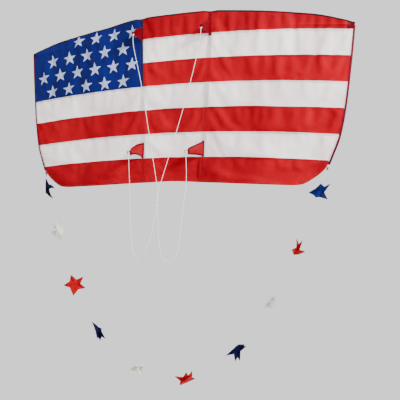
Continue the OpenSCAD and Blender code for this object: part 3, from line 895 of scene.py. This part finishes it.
plain_grid = np.meshgrid(np.arange(U0, U1 + 1e-6, GRID), np.arange(W0, W1 + 1e-6, GRID))
SLACK = slack_cloth(*plain_grid)


def spline_weights(f):
    """The four weights of a smooth curve through evenly spaced values, f of the way along."""
    return ((1 - f) ** 3 / 6, (3 * f ** 3 - 6 * f ** 2 + 4) / 6,
            (-3 * f ** 3 + 3 * f ** 2 + 3 * f + 1) / 6, f ** 3 / 6)


def slack_at(u, w):
    i = np.clip((np.asarray(w, float) - W0) / GRID, 1, SLACK.shape[0] - 3.001)
    j = np.clip((np.asarray(u, float) - U0) / GRID, 1, SLACK.shape[1] - 3.001)
    i0, j0 = i.astype(int), j.astype(int)
    total = 0
    for a, wi in enumerate(spline_weights(i - i0)):
        for b, wj in enumerate(spline_weights(j - j0)):
            total = total + wi * wj * SLACK[i0 + a - 1, j0 + b - 1]
    return total


def folds(u, w):
    """How far the cloth stands back of its plain shape at (u, w)."""
    u, w = np.broadcast_arrays(np.asarray(u, float), np.asarray(w, float))
    d = slack_at(u, w) * 1.7
    free = smooth(np.abs(np.abs(u) - spine_x(w)), 0.006, 0.035)
    free = free * smooth(edge_u(w) - np.abs(u), 0.004, 0.030)
    # the leading strip leans forward above the spar, except over the canton, where strip_turn lays it back
    d = d - 0.13 * np.clip(w, 0, 0.09) * free * (1 - smooth(-u, .20, .40))
    d = d - 0.0030 * np.exp(-np.square(w / 0.02)) * free
    # near the wing tips it is drawn tight over the spar
    d = d - 0.0032 * np.exp(-np.square((w - 0.002) / 0.0048)) * smooth(np.abs(u), 0.42, 0.70) * free
    # the foot of the sail curls forward a little
    d = d - 0.003 * smooth(-w, 0.62, 0.69) * free * np.abs(np.sin(9.5 * u + 0.7))
    spar = np.clip(np.abs(w) / 0.02, 0, 1)
    spar_gap = 0.12 * bow(u)
    limit = 0.0006 + (0.0035 - np.clip(spar_gap, 0, 0.0035)) * (1 - spar) * 0.6 + 0.0065 * spar
    d = np.where(d > 0, limit * np.tanh(d / limit), 0.015 * np.tanh(d / 0.015))
    # it lies on the spines and their sleeves
    rod = 1 - smooth(np.abs(np.abs(u) - spine_x(w)), 0.013, 0.022)
    d = np.where(d > 0, d * (1 - rod), d)
    # and on the pockets behind the wing tips
    tip = smooth(np.abs(u), .742, .758)
    return np.where(d > 0, d * (1 - tip), d - 0.0006 * tip * free)


MID = 0.0005  # the cloth is drawn this far in front of its back face


def strip_turn(u, w):
    """How far the canton's strip above the spar is turned back over the spar, in radians."""
    return math.radians(9) * smooth(-u, .20, .40) * smooth(w, 0, .014)


def sail(u, w, off=0.0):
    """A point off metres in front of the cloth at (u, w)."""
    u, w = np.broadcast_arrays(np.asarray(u, float), np.asarray(w, float))
    turn = strip_turn(u, w)
    behind, drop = np.sin(turn) * w, (1 - np.cos(turn)) * w
    return np.stack([u, back_y(u) - MID + folds(u, w) - off + behind, w - droop(u) - drop], -1)


def panel(name, node, top, bottom, material, slot, rows=25, step=0.004):
    """A strip of cloth between two curves of (u, w)."""
    n = int(max(route_length(top), route_length(bottom)) / step)
    A, B = resample(np.array(top), n), resample(np.array(bottom), n)
    t = np.linspace(0, 1, rows)[:, None, None]
    UW = B[None] * (1 - t) + A[None] * t
    G = sail(UW[..., 0], UW[..., 1])
    ob = grid_object(name, G, material, CLOTH_THICK)
    place(ob, "kite", slot, node)
    return ob, UW


def line(u0, u1, w, n=60):
    """A level line across the cloth."""
    u = np.linspace(u0, u1, n)
    return np.stack([u, np.full(n, w)], 1)


def top_of_first(u0, u1, n=160):
    u = np.linspace(u0, u1, n)
    return np.stack([u, top_w(u)], 1)


# stripe 1: from the left spine to the right tip, above the first seam
bottom = line(-float(spine_x(SEAM_W[0])), float(edge_u(SEAM_W[0])), SEAM_W[0])
panel("stripe_1_red_cloth", "stripe_1_red", top_of_first(-float(spine_x(TOP)), SPAN),
                    bottom, LOOK["red"], "ripstop_red")
# the canton is one panel: its top is the leading edge, its foot the third seam below the leading edge
canton_low = SEAM_W[2]
canton_top = top_of_first(-SPAN, -float(spine_x(TOP)))


def canton_panel():
    """The canton's left side follows the wing's edge, and its rows run from tip to spine."""
    rows = []
    for w in np.linspace(canton_low, .013, 56):
        rows.append(resample(line(-float(edge_u(w)), -float(spine_x(w)), w), 158))
    base = rows[-1]
    top = resample(canton_top, 158)
    t = np.linspace(0, 1, 15)[1:, None, None]
    rows = np.array(rows)
    over = base[None] * (1 - t) + top[None] * t
    UW = np.concatenate([rows, over])
    ob = grid_object("canton_blue_cloth", sail(UW[..., 0], UW[..., 1]), LOOK["blue"], CLOTH_THICK)
    place(ob, "kite", "ripstop_blue", "canton_blue")
    return ob, UW


canton_panel()
for i in range(2, 8):
    a, b = SEAM_W[i - 2], SEAM_W[i - 1] if i < 7 else None
    tint = "white" if i % 2 == 0 else "red"
    left = -float(spine_x(a)) if i <= 3 else -float(edge_u(a))
    top = line(left, float(edge_u(a)), a, 200)
    if b is not None:
        left = -float(spine_x(b)) if i <= 3 else -float(edge_u(b))
        low = line(left, float(edge_u(b)), b, 200)
    else:
        half = foot_curve(90)
        low = np.vstack([half[::-1] * [-1, 1], half[1:]])
    panel(f"stripe_{i}_{tint}_cloth", f"stripe_{i}_{tint}", top, low, LOOK[tint],
                        "ripstop_" + tint)


# ---------------------------------------------------------------- sewing
def along_route(at, s, P):
    """The points of a route at given distances along it; s holds each of its own points' distance."""
    return np.stack([np.interp(at, s, P[:, a]) for a in range(3)], 1)


def stitches(name, routes, material, pitch=0.0045, long=0.0029, r=0.00030, zig=0.0):
    """Rows of stitches: a route is (points on the cloth, outward normals). zig is a zigzag's half-width."""
    V, F = [], []
    for P, N in routes:
        P, N = np.asarray(P, float), np.asarray(N, float)
        s = distances(P)
        k = max(2, int(s[-1] / pitch))
        at = np.linspace(0, s[-1], k + 1)
        mid = (at[:-1] + at[1:]) / 2
        C, H = along_route(mid, s, P), along_route(mid, s, N)
        H /= np.linalg.norm(H, axis=1)[:, None]
        T = along_route(np.minimum(mid + 0.001, s[-1]), s, P) - along_route(np.maximum(mid - 0.001, 0),
                                                                            s, P)
        T /= np.linalg.norm(T, axis=1)[:, None]
        S = np.cross(T, H)
        for j in range(len(C)):
            t = T[j]
            if zig:
                t = t * (pitch / 2) + S[j] * zig * (1 if j % 2 else -1)
                half = np.linalg.norm(t)
                t = t / half
            else:
                half = long / 2
            side = np.cross(t, H[j])
            q = len(V)
            for d, w in ((-1, 0.25), (-0.55, 1), (0.55, 1), (1, 0.25)):
                for e in ((1, 0), (0, 1), (-1, 0), (0, -1)):
                    sunk = H[j] * (0 if abs(d) < 1 else -r * 0.8)
                    V.append(C[j] + t * half * d + (side * e[0] + H[j] * e[1]) * r * w + sunk)
            for a in range(3):
                for b in range(4):
                    c = (b + 1) % 4
                    F.append((q + a * 4 + b, q + a * 4 + c, q + a * 4 + 4 + c, q + a * 4 + 4 + b))
    ob = new_object(name, V, F)
    ob.data.materials.append(material)
    return ob


FORWARD = np.array([0, -1.0, 0])
# across a folded seam: how far over its half-width, and how much of its height stands there
FOLD, FOLD_THICK = ((-1.0, 0.0), (-0.8, 0.6), (0.0, 1.0), (0.8, 0.6), (1.0, 0.0)), 0.00015


def on_sail(uw, off):
    """A row for stitches: points off the cloth's front, and which way it faces."""
    P = sail(uw[:, 0], uw[:, 1], off)
    return P, np.repeat(FORWARD[None], len(P), 0)


def seam_fold(name, u0, u1, w, material, slot, half=0.0042, off=0.00030):
    """A felled seam: the cloth folded over on itself along w."""
    u = np.linspace(u0, u1, max(8, int((u1 - u0) / 0.006)))
    rows = [sail(u, w + k * half, off * (0.9 + 1.1 * lift)) for k, lift in FOLD]
    ob = grid_object(name, np.array(rows)[::-1], material, FOLD_THICK)
    place(ob, "kite", slot)


seam_rows = {"red": [], "white": [], "blue": []}
for i, w in enumerate(SEAM_W):
    tint = "white" if i % 2 == 0 else "red"
    u0 = -float(spine_x(w)) if i < 2 else -float(edge_u(w))
    u1 = float(edge_u(w))
    seam_fold(f"seam_{i + 1}_fold", u0 + .004, u1 - .004, w, LOOK[tint], "ripstop_" + tint)
    for d in (-0.0028, 0.0028):
        u = np.linspace(u0 + .006, u1 - .006, 260)
        seam_rows[tint].append(on_sail(np.stack([u, np.full_like(u, w + d)], 1), 0.0009))
# the canton's right edge is sewn to the stripes down the left spine; the fold's near-black navy is painted
# shade of the spine seen through the cloth
w = np.linspace(-.244, .080, 60)
rows = [sail(-spine_x(w) - 0.001 + k * 0.0052, w, 0.00015 + 0.0003 * lift) for k, lift in FOLD]
canton_seam = grid_object("canton_seam_fold", np.array(rows), LOOK["navy_fold_painted_shade"], FOLD_THICK)
place(canton_seam, "kite", "ripstop_blue")
for d in (-0.0030, 0.0028):
    seam_rows["blue"].append(on_sail(np.stack([-spine_x(w) - 0.001 + d, w], 1), 0.0007))
# both spine sleeves are sewn through the sail, in thread of each stripe's colour
bands = [.058] + SEAM_W + [-.655]
for s in (-1, 1):
    for i in range(7):
        w = np.linspace(bands[i + 1], bands[i], 30)
        for d in (-0.0072, 0.0072):
            tint = "blue" if s < 0 and d < 0 and i < 3 else ("red" if i % 2 == 0 else "white")
            seam_rows[tint].append(on_sail(np.stack([s * spine_x(w) + d, w], 1), 0.0006))
for tint, rows in seam_rows.items():
    ob = stitches(f"seam_stitches_{tint}", rows, LOOK["thread_" + tint])
    place(ob, "kite", "applique_pale" if tint == "blue" else "ripstop_" + tint)

# ---------------------------------------------------------------- edges of the sail


def edge_binding(name, node, uw, inward, width, material, slot, thread):
    """A tape folded over the cloth's edge; uw runs along the edge and inward points onto the cloth."""
    inward = inward / np.linalg.norm(inward, axis=1)[:, None]
    prof = [(width, 0.0004), (width * 0.92, 0.0008), (width * 0.5, 0.0009), (width * 0.06, 0.0008),
            (-0.0007, 0.0003), (-0.0007, -0.0006), (width * 0.06, -0.0011), (width * 0.5, -0.0011),
            (width, -0.0007)]
    rows = []
    for d, off in prof:
        q = uw + inward * d
        rows.append(sail(q[:, 0], q[:, 1], off))
    ob = grid_object(name, np.array(rows), material, TAPE_THICK, 1.0)
    place(ob, "kite", slot, node)
    q = uw + inward * (width * 0.78)
    st = stitches(name + "_stitches", [on_sail(q, 0.0013)], thread)
    place(st, "kite", slot)


u = np.linspace(-.7995, .7995, 330)
lead_uw = np.stack([u, top_w(u)], 1)
edge_binding("leading_hem_tape", "leading_hem", lead_uw, np.repeat([[0, -1.0]], len(u), 0), 0.005,
             LOOK["hem_dark"], "hem_dark", LOOK["thread_dark"])
half = foot_curve(140)
foot_uw = np.vstack([half[::-1] * [-1, 1], half[1:]])
tangent = np.gradient(foot_uw, axis=0)
foot_in = np.stack([-tangent[:, 1], tangent[:, 0]], 1)
edge_binding("trailing_hem_fold", "trailing_hem", foot_uw, foot_in, 0.007, LOOK["fold_red"],
             "ripstop_red",
             LOOK["thread_red"])


def rod_line(s, n):
    """The side rod's middle as (u, w), on the side s."""
    return resample(catmull(ROD, 8), n) * [s, 1]


def behind_sail(Q):
    """Where the side rod runs, behind the points (u, w)."""
    return np.stack([Q[:, 0], back_y(Q[:, 0]) + ROD_GAP, Q[:, 1] - droop(Q[:, 0])], 1)


def side_sleeve(s, nm):
    """Cloth that runs off the sail's front, round the side rod and back onto the sail."""
    Q = rod_line(s, 130)
    Q = Q[(Q[:, 1] < 0.0035) & (Q[:, 1] > -0.598)]
    T = np.gradient(Q, axis=0)
    T /= np.linalg.norm(T, axis=1)[:, None]
    E = np.stack([-T[:, 1], T[:, 0]], 1)
    E = np.where((E[:, 0] * s > 0)[:, None], E, -E)
    wide = .0052 if s > 0 else .0064
    prof = [(-wide, 0.0002), (-wide * .95, 0.0006), (-wide * .7, 0.0008), (-wide * .4, 0.0008),
            (-.0010, 0.0004)]
    rows = []
    for e, off in prof:
        q = Q + E * e
        rows.append(sail(q[:, 0], q[:, 1], off))
    centre = behind_sail(Q)
    out3 = np.stack([E[:, 0], np.zeros(len(Q)), E[:, 1]], 1)
    T3 = np.gradient(centre, axis=0)
    T3 /= np.linalg.norm(T3, axis=1)[:, None]
    for a in (-62, -40, -15, 10, 35, 60, 85, 110, 132):
        c, d = math.cos(math.radians(a)), math.sin(math.radians(a))
        rows.append(centre + 0.0030 * (out3 * c + np.array([0, 1.0, 0]) * d))
    for e, off in ((-.0048, -0.0016), (-.0085, -0.0012), (-.0125, -0.0009)):
        q = Q + E * e
        rows.append(sail(q[:, 0], q[:, 1], off))
    G = np.array(rows)
    ripple = np.random.default_rng(3 if s > 0 else 4).normal(0, 1, G.shape[1])
    ripple = np.convolve(ripple, np.ones(4) / 4, "same") * 0.00022
    G[5:-3] += (out3 * ripple[:, None])[None]
    # the sleeve's top is gathered shut over the end of the rod
    shut = []
    for k, lift in ((0.80, 0.0018), (0.35, 0.0030), (0.02, 0.0034)):
        col = G[:, 0].copy()
        col[5:-3] = centre[0] + (col[5:-3] - centre[0]) * k
        shut.append(col - T3[0] * lift)
    G = np.concatenate([np.array(shut[::-1]).transpose(1, 0, 2), G], 1)
    ob = grid_object(f"side_sleeve_{nm}_cloth", G, LOOK["maroon"], TAPE_THICK, -s)
    place(ob, "kite", "sleeve_maroon", f"side_sleeve_{nm}")
    st = stitches(f"side_sleeve_{nm}_stitches", [on_sail(Q + E * -wide * .82, 0.0012)],
                  LOOK["thread_dark"])
    place(st, "kite", "sleeve_maroon")


def facing(s, nm, material, slot):
    """The cloth is doubled behind the leading edge, above the spar."""
    x, low = np.linspace(.215, .790, 110), .0065
    UW = np.array([np.stack([s * x, np.maximum(low, low * (1 - t) + (top_w(x) - .002) * t)], 1)
                   for t in np.linspace(0, 1, 9)])
    ob = grid_object(f"facing_{nm}", sail(UW[..., 0], UW[..., 1], -0.0009), material, CLOTH_THICK)
    place(ob, "kite", slot)


facing(-1, "left", LOOK["blue"], "ripstop_blue")
facing(1, "right", LOOK["red"], "ripstop_red")


CORNER_U = .7990


def corner_shadow_patch(s, nm, width, depth, material):
    """A dark patch on the cloth's front under the leading hem at the wing tip: painted shadow of the wing
    pocket behind the cloth.
    """
    x = np.linspace(CORNER_U - width, CORNER_U, 12)
    rows = []
    for t in np.linspace(0, 1, 12):
        w = top_w(x) * (1 - t) + (.010 - depth) * t
        inset = CORNER_U - (edge_u(w) - .002)
        rows.append(np.stack([s * (x - inset), w], 1))
    UW = np.array(rows)
    ob = grid_object(f"corner_shadow_patch_{nm}", sail(UW[..., 0], UW[..., 1], 0.0006), material, TAPE_THICK)
    place(ob, "kite", "hem_dark")


for s, nm in ((-1, "left"), (1, "right")):
    side_sleeve(s, nm)
# both corner patches are painted shadow of the wing pockets behind the cloth; the left one is in the hem
# tape's dark colour
corner_shadow_patch(-1, "left", .014, .016, LOOK["hem_dark"])
corner_shadow_patch(1, "right", .027, .024, LOOK["corner_red_painted_shadow"])

# ---------------------------------------------------------------- rods and what holds them


def smooth_rod(name, node, P, r, material, slot, n):
    place(tube(name, P, r, n, material), "kite", slot, node)


SPINE_Y = float(back_y(SPINE_TOP_U)) + ROD_GAP
LEAN = math.atan(SPINE_CLOSES / SPINE_LONG)
for s, nm in ((-1, "left"), (1, "right")):
    u = s * np.linspace(.012, .788, 70)
    P = np.stack([u, 0.88 * bow(u), -droop(u)], 1)
    smooth_rod(f"cross_spar_{nm}_rod", f"cross_spar_{nm}", P, 0.003, LOOK["carbon"], "carbon_rod", 24)
    Q = rod_line(s, 90)
    smooth_rod(f"side_rod_{nm}_rod", f"side_rod_{nm}", behind_sail(Q), 0.002, LOOK["glass"], "glass_rod",
               16)


def on_spine(s, a, b, z):
    """A point beside a spine: a across it, b behind its axis, at height z before it leans."""
    a, b, z = np.broadcast_arrays(np.asarray(a, float), np.asarray(b, float), np.asarray(z, float))
    t = s * LEAN
    x = a * math.cos(t) + z * math.sin(t)
    return np.stack([s * float(spine_x(0)) + x, SPINE_Y + b, -a * math.sin(t) + z * math.cos(t)], -1)


def spine_sleeve(s, z0, z1, name):
    """A strip of ripstop sewn to the sail's back on both sides of the spine, with the rod running in it."""
    z = np.linspace(z0, z1, max(10, int((z1 - z0) / 0.006)))
    prof = [(-.0115, -.0029), (-.0085, -.0028), (-.0055, -.0026), (-.0040, -.0016)]
    prof += [(.0031 * math.cos(a), .0031 * math.sin(a)) for a in np.radians(range(170, 5, -20))]
    prof += [(.0040, -.0016), (.0055, -.0026), (.0085, -.0028), (.0115, -.0029)]
    rng = np.random.default_rng(int(abs(z0) * 1000) + (5 if s > 0 else 0))
    wave = np.convolve(rng.normal(0, 1, len(z)), np.ones(5) / 5, "same") * 0.0003
    rows = [on_spine(s, a, b + (wave * (abs(a) < .005) if b > -.001 else 0), z) for a, b in prof]
    ob = grid_object(name, np.array(rows), LOOK["sleeve"], CLOTH_THICK)
    place(ob, "kite", "sleeve_tape", f"spine_sleeve_{'left' if s < 0 else 'right'}")


for s, nm in ((-1, "left"), (1, "right")):
    smooth_rod(f"spine_{nm}_rod", f"spine_{nm}", on_spine(s, 0, 0, np.linspace(-.676, .076, 40)), 0.0025,
               LOOK["carbon"], "carbon_rod", 20)
    spine_sleeve(s, -.656, -.017, f"spine_sleeve_{nm}_low")
    spine_sleeve(s, .017, .059, f"spine_sleeve_{nm}_high")

# the ferrule is crimped near both ends, over the two halves of the spar
R0 = 0.0042
half = [(.030, R0), (.031, R0 - .0004), (.033, R0 - .0004), (.034, R0), (.044, R0), (.0447, R0 - .0002),
        (.045, R0 - .0010)]
prof = [(-d, r) for d, r in half[::-1]] + half
ferrule = lathe("spar_ferrule_tube", prof, (0, 0, 0), (1, 0, 0), 36, LOOK["alu"])
place(ferrule, "kite", "ferrule_metal", "spar_ferrule")


def crossed_lashing(name, at, across, along, gap, r, turns, material):
    """Cord wound in a cross round the place where two rods meet."""
    parts = []
    for sign in (1, -1):
        for k in range(turns):
            d = (k - (turns - 1) / 2) * 2.1 * r
            t = np.linspace(0, 2 * np.pi, 25)
            a, b = (Vector(across) + Vector(along) * sign).normalized(), Vector((0, 1, 0))
            side = (Vector(across) - Vector(along) * sign).normalized()
            P = [np.array(at) + np.array(a) * gap[0] * math.cos(q) + np.array(b) * gap[1] * math.sin(q)
                 + np.array(side) * d for q in t]
            parts.append((np.array(P), r, 8))
    return joined_tubes(name, parts, material)


for s, nm in ((-1, "left"), (1, "right")):
    at = on_spine(s, 0, 0.0035, 0)
    lash = crossed_lashing(f"spar_tie_{nm}_lashing", (at[0], 0.0005, at[2] - 0.0016), (1, 0, 0),
                           (0, 0, 1), (0.0085, 0.0072), 0.0009, 3, LOOK["tie"])
    place(lash, "kite", "tie_black")


def softened(node, width, material, segments=2):
    """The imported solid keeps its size; only its edges are rounded and its surface is set."""
    ob = bpy.data.objects[node]
    b = ob.modifiers.new("soft_edges", "BEVEL")
    b.width, b.segments, b.limit_method, b.angle_limit = width, segments, "ANGLE", math.radians(40)
    dress(ob, material)


def dress(ob, material):
    ob.data.materials.clear()
    ob.data.materials.append(material)


for nm in ("left", "right"):
    softened(f"spar_tie_{nm}", 0.0012, LOOK["rubber"], 3)
    softened(f"spine_pocket_top_{nm}", 0.0005, LOOK["pocket"])
    softened(f"spine_pocket_foot_{nm}", 0.0005, LOOK["pocket"])
    dress(bpy.data.objects[f"wing_pocket_{nm}"], LOOK["pocket"])


def rod_cap(s, nm):
    """A moulded end with a notch and a flange for the tail line."""
    r = 0.0032
    prof = [(-.009, r - .0004), (-.0087, r), (-.002, r), (-.0015, r - .0003), (.0002, r - .0003),
            (.0006, r), (.0014, r), (.0018, r - .0010), (.0030, r - .0010), (.0034, r), (.0044, r),
            (.0050, r - .0006)]
    d = ROD_DIR * [s, 1, 1]
    ob = lathe(f"rod_cap_{nm}_moulding", prof, ROD_END * [s, 1, 1], d, 28, LOOK["rubber"])
    place(ob, "kite", "cap_black", f"rod_cap_{nm}")


rod_cap(-1, "left")
rod_cap(1, "right")

# ---------------------------------------------------------------- the stars of the canton
STAR_ROWS = [(4, -.522, .025), (5, -.672, -.0515), (6, -.724, -.128), (5, -.668, -.2045)]
STAR_PITCH, CANTON_R = 0.101, 0.035


def canton_star(name, u0, w0):
    """A star sewn on the canton at (u0, w0), upright on its drooping wing, cut off below the hem."""
    turn = -math.degrees(math.atan(2 * float(droop(u0)) / u0))
    outline = star_outline(CANTON_R, turn, CANTON_INNER)
    V2, F = star_disc(outline, 6)
    W = np.minimum(w0 + V2[:, 1], top_w(u0 + V2[:, 0]) - 0.0075)
    P = sail(u0 + V2[:, 0], W, 0.00055)
    P[-len(outline):, 1] += 0.00012 * 0.65  # the rim is sewn down
    ob = new_object(name, P, F)
    ob.data.materials.append(LOOK["pale"])
    thicken(ob, 0.0003, -1.0)
    place(ob, "kite", "applique_pale", "canton_stars")
    edge = outline * 0.955
    edge = np.vstack([edge, edge[:1]])
    EW = np.minimum(w0 + edge[:, 1], top_w(u0 + edge[:, 0]) - 0.0085)
    return on_sail(np.stack([u0 + edge[:, 0], EW], 1), 0.0009)


places = [(first + j * STAR_PITCH, w0) for many, first, w0 in STAR_ROWS for j in range(many)]
star_borders = [canton_star(f"canton_star_{i + 1}", u0, w0) for i, (u0, w0) in enumerate(places)]
ob = stitches("canton_star_stitches", star_borders, LOOK["thread_white"], pitch=0.0016, zig=0.0010,
              r=0.00022)
place(ob, "kite", "applique_pale")

# ---------------------------------------------------------------- keels
# how far a keel bows sideways, how full its upper edge is, how far its lower edge arches, its ripple and seed
KEEL_SHAPE = {"upper_left": (-0.007, 1.5, 0.008, 0.002, 11),
              "upper_right": (0.004, 1.1, 0.002, 0.002, 12),
              "lower_left": (-0.006, 1.9, 0.009, 0.002, 13),
              "lower_right": (0.006, 1.05, 0.001, 0.002, 14)}


def keel_edges(name, s):
    """Upper and lower edge of a keel at s, from 0 at the root to 1 at the tip."""
    _, fullness, arch, _, _ = KEEL_SHAPE[name]
    top = -0.036 * s ** fullness
    low = -KEEL_ROOT + 0.001 * s + arch * np.sin(np.pi * s)
    nose = np.clip((s - 0.93) / 0.07, 0, 1) ** 2 * 0.003
    return top - nose, low + nose


def keel_side(name, s, t):
    """How far the keel's cloth stands off its plane."""
    belly, _, _, ripple, seed = KEEL_SHAPE[name]
    full = belly * np.sin(np.pi * np.clip(s * 0.92, 0, 1))
    full = full * (0.35 + 0.65 * np.sin(np.pi * np.clip(t, 0, 1)))
    waves = ripple * np.sin(5.2 * t + 3.1 * s + seed) * s * (1 - 0.5 * s)
    return full + 0.6 * waves * np.sin(np.pi * np.clip(s * 0.95, 0, 1))


UP = np.array([0, 0, 1.0])


def keel_grid(name, s, t, off=0.0):
    """Points of a keel: s out from the root and t up it, both as shares, and off its cloth."""
    s, t = np.broadcast_arrays(s, t)
    top, low = keel_edges(name, s)
    h = low + (top - low) * t
    side = keel_side(name, s, t) + off
    out, nrm = keel_ways(name)
    flat = keel_axis(name) + (s * KEEL_DEPTH)[..., None] * out
    return flat + side[..., None] * nrm + h[..., None] * UP


def keel(name):
    body = f"keel_{name}"
    out, nrm = keel_ways(name)
    S, T = np.meshgrid(np.linspace(0.004, 1, 30), np.linspace(0, 1, 26))
    G = keel_grid(name, S, T)
    # the upper keels get the darker copy of the keel red, as painted shade
    ob = grid_object(f"{body}_cloth", G, LOOK["keel" if "lower" in name else "keel_painted_shade"], 0.0004, 0.0)
    place(ob, body, "keel_red", f"keel_{name}")
    # edge tape folded over the upper edge, the tip and the lower edge
    n = 26
    route = [(x, 1.0) for x in np.linspace(0.03, 1, n)]
    route += [(1.0, t) for t in np.linspace(1, 0, 9)[1:]]
    route += [(x, 0.0) for x in np.linspace(1, 0.03, n)[1:]]
    ST = np.array(route)
    inward = np.array([(0, -0.10 - 0.10 * s) for s, t in route])
    inward[n - 1:n + 8] = (-0.075, 0)
    inward[n + 8:] = [(0, 0.10 + 0.10 * s) for s, t in route[n + 8:]]
    rows = []
    for k, off in ((1, 0.0004), (0.9, 0.0007), (0.1, 0.0007), (-0.06, 0.0), (0.1, -0.0007),
                   (0.9, -0.0007), (1, -0.0004)):
        q = ST + inward * k
        rows.append(keel_grid(name, q[:, 0], np.clip(q[:, 1], -0.02, 1.02), off))
    tape = grid_object(f"{body}_edge_tape", np.array(rows), LOOK["tape"], TAPE_THICK, 0.0)
    q = ST + inward * 0.75
    st_rows = [(keel_grid(name, q[:, 0], q[:, 1], 0.00095 * face), np.repeat(nrm[None] * face, len(q), 0))
               for face in (1, -1)]
    st = stitches(f"{body}_stitches", st_rows, LOOK["thread_keel"], pitch=0.0035, long=0.0022, r=0.00025)
    # the loop at the tip is the tape doubled back on itself
    c = keel_point(name, KEEL_DEPTH + LOOP_OUT, TIP_MID)
    ring = [c + 0.0062 * (np.cos(a) * out + np.sin(a) * UP)
            for a in np.radians(np.linspace(-150, 150, 36))]
    ends = {way: [keel_point(name, KEEL_DEPTH - 0.010, TIP_MID + way * 0.0012),
                  keel_point(name, KEEL_DEPTH - 0.004, TIP_MID + way * 0.0014)] for way in (-1, 1)}
    ring = catmull(ends[-1] + ring + ends[1][::-1], 2)
    rows = [ring + nrm * d for d in (-0.0032, -0.0016, 0, 0.0016, 0.0032)]
    loop = grid_object(f"{body}_loop", np.array(rows), LOOK["tape"], 0.0010, 0.0)
    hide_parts(f"keel_loop_{name}")
    t = np.linspace(0, 2 * np.pi, 40)
    bottom = c - 0.0066 * UP
    wrap = np.array([bottom + 0.0040 * math.cos(q) * nrm + 0.0030 * math.sin(q) * UP for q in t])
    turns = [(wrap + out * d, 0.0009, 8) for d in (0.0009, -0.0009)]
    hitch = joined_tubes(f"{body}_hitch", turns, LOOK["bridle"])
    for x, slot in ((tape, "keel_tape"), (st, "keel_tape"), (loop, "keel_tape"), (hitch, "bridle_cord")):
        place(x, body, slot)


for name in KEELS:
    keel(name)

# the tapes that hold the keels' roots, sewn down over the spines, with a bar tack at both ends
tacks = []
for name, (s, z, _) in KEELS.items():
    # the upper right one is a wider band, darker than the cloth, that runs up to the leading hem: the keel's
    # root tape, widened and lengthened as painted shade of the spine seen through the cloth
    half, above, tint = (.0080, .034, "spine_shadow_band_red") if name == "upper_right" else (.0050, 0, "tape")
    w = np.linspace(z + .0035 + above, z - KEEL_ROOT - .0035, 24) + float(droop(0.17))
    x = s * float(spine_x(z - KEEL_ROOT / 2))
    prof = [(half * .92, .0007), (half, .0004)]
    prof = [(-d, off) for d, off in prof[::-1]] + [(-.0015, .0008), (0, .0010), (.0015, .0008)] + prof
    rows = [sail(np.full(len(w), x + d), w, off) for d, off in prof]
    ob = grid_object(f"keel_{name}_root_tape", np.array(rows), LOOK[tint], TAPE_THICK)
    place(ob, "kite", "keel_tape", "keel_seam_tapes")
    for d in (-half * .72, half * .72):
        tacks.append(on_sail(np.stack([np.full(len(w), x + d), w], 1), 0.0012))
    for end in (w[0] - .001, w[-1] + .001):
        for k in range(5):
            q = np.linspace(x - .0042, x + .0042, 5)
            tacks.append(on_sail(np.stack([q, np.full(5, end + (k - 2) * .0005)], 1), 0.0013))
for s in (-1, 1):
    for w0, h in ((-.6745, .0040), (.0745, .0020)):
        for k in range(8):
            q = np.linspace(-.0042, .0042, 6) + s * float(spine_x(w0))
            tacks.append(on_sail(np.stack([q, np.full(6, w0 + h * (k / 7 - .5) * 2)], 1), 0.0011))
ob = stitches("keel_root_stitches", tacks, LOOK["thread_dark"], pitch=0.0030, long=0.0024, r=0.00025)
place(ob, "kite", "keel_tape")

# ---------------------------------------------------------------- stage
floor_z = cad_box[0][2] - 0.75


def make_stage():
    k = Nodes("floor_paper")
    obj = k.coords()
    n = k.noise(obj, 3.0, 2.0)
    p = k.add("ShaderNodeBsdfPrincipled")
    col = k.mix(k.math("MULTIPLY", n, 0.1), (0.80, 0.80, 0.80, 1), (0.77, 0.77, 0.77, 1))
    k.link(col, p.inputs["Base Color"])
    p.inputs["Roughness"].default_value = 0.9
    k.link(p.outputs[0], k.out.inputs[0])
    radius, sides = 2.2, 96
    turns = 2 * np.pi * np.arange(sides) / sides
    rim = [(radius * math.cos(a), radius * math.sin(a), floor_z) for a in turns]
    ob = new_object("floor", rim, [tuple(range(sides))], False)
    ob.data.materials.append(k.mat)
    ob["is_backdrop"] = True


make_stage()
world = bpy.data.worlds.new("studio")
scene.world = world
world.use_nodes = True
background = world.node_tree.nodes["Background"]
background.inputs["Color"].default_value = (0.97, 0.975, 0.98, 1)
background.inputs["Strength"].default_value = 1.25


def area_light(name, at, aim, size, power, tint=(1, 1, 1)):
    data = bpy.data.lights.new(name, "AREA")
    data.shape, data.size, data.energy, data.color = "DISK", size, power, tint
    ob = bpy.data.objects.new(name, data)
    scene.collection.objects.link(ob)
    ob.location = at
    ob.rotation_euler = (Vector(aim) - Vector(at)).to_track_quat("-Z", "Y").to_euler()


MIDDLE = (0, 0, -0.7)
area_light("key", (3.2, -1.5, 1.3), MIDDLE, 0.8, 380)
area_light("fill", (-3.0, -3.2, 0.4), MIDDLE, 2.5, 25)
area_light("back", (0.2, 3.2, 0.6), (0, 0, -0.3), 2.0, 260)

# ---------------------------------------------------------------- finish
for ob in scene.objects:
    if ob.type == "MESH" and not ob.data.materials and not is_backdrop(ob):
        print("no material:", ob.name)
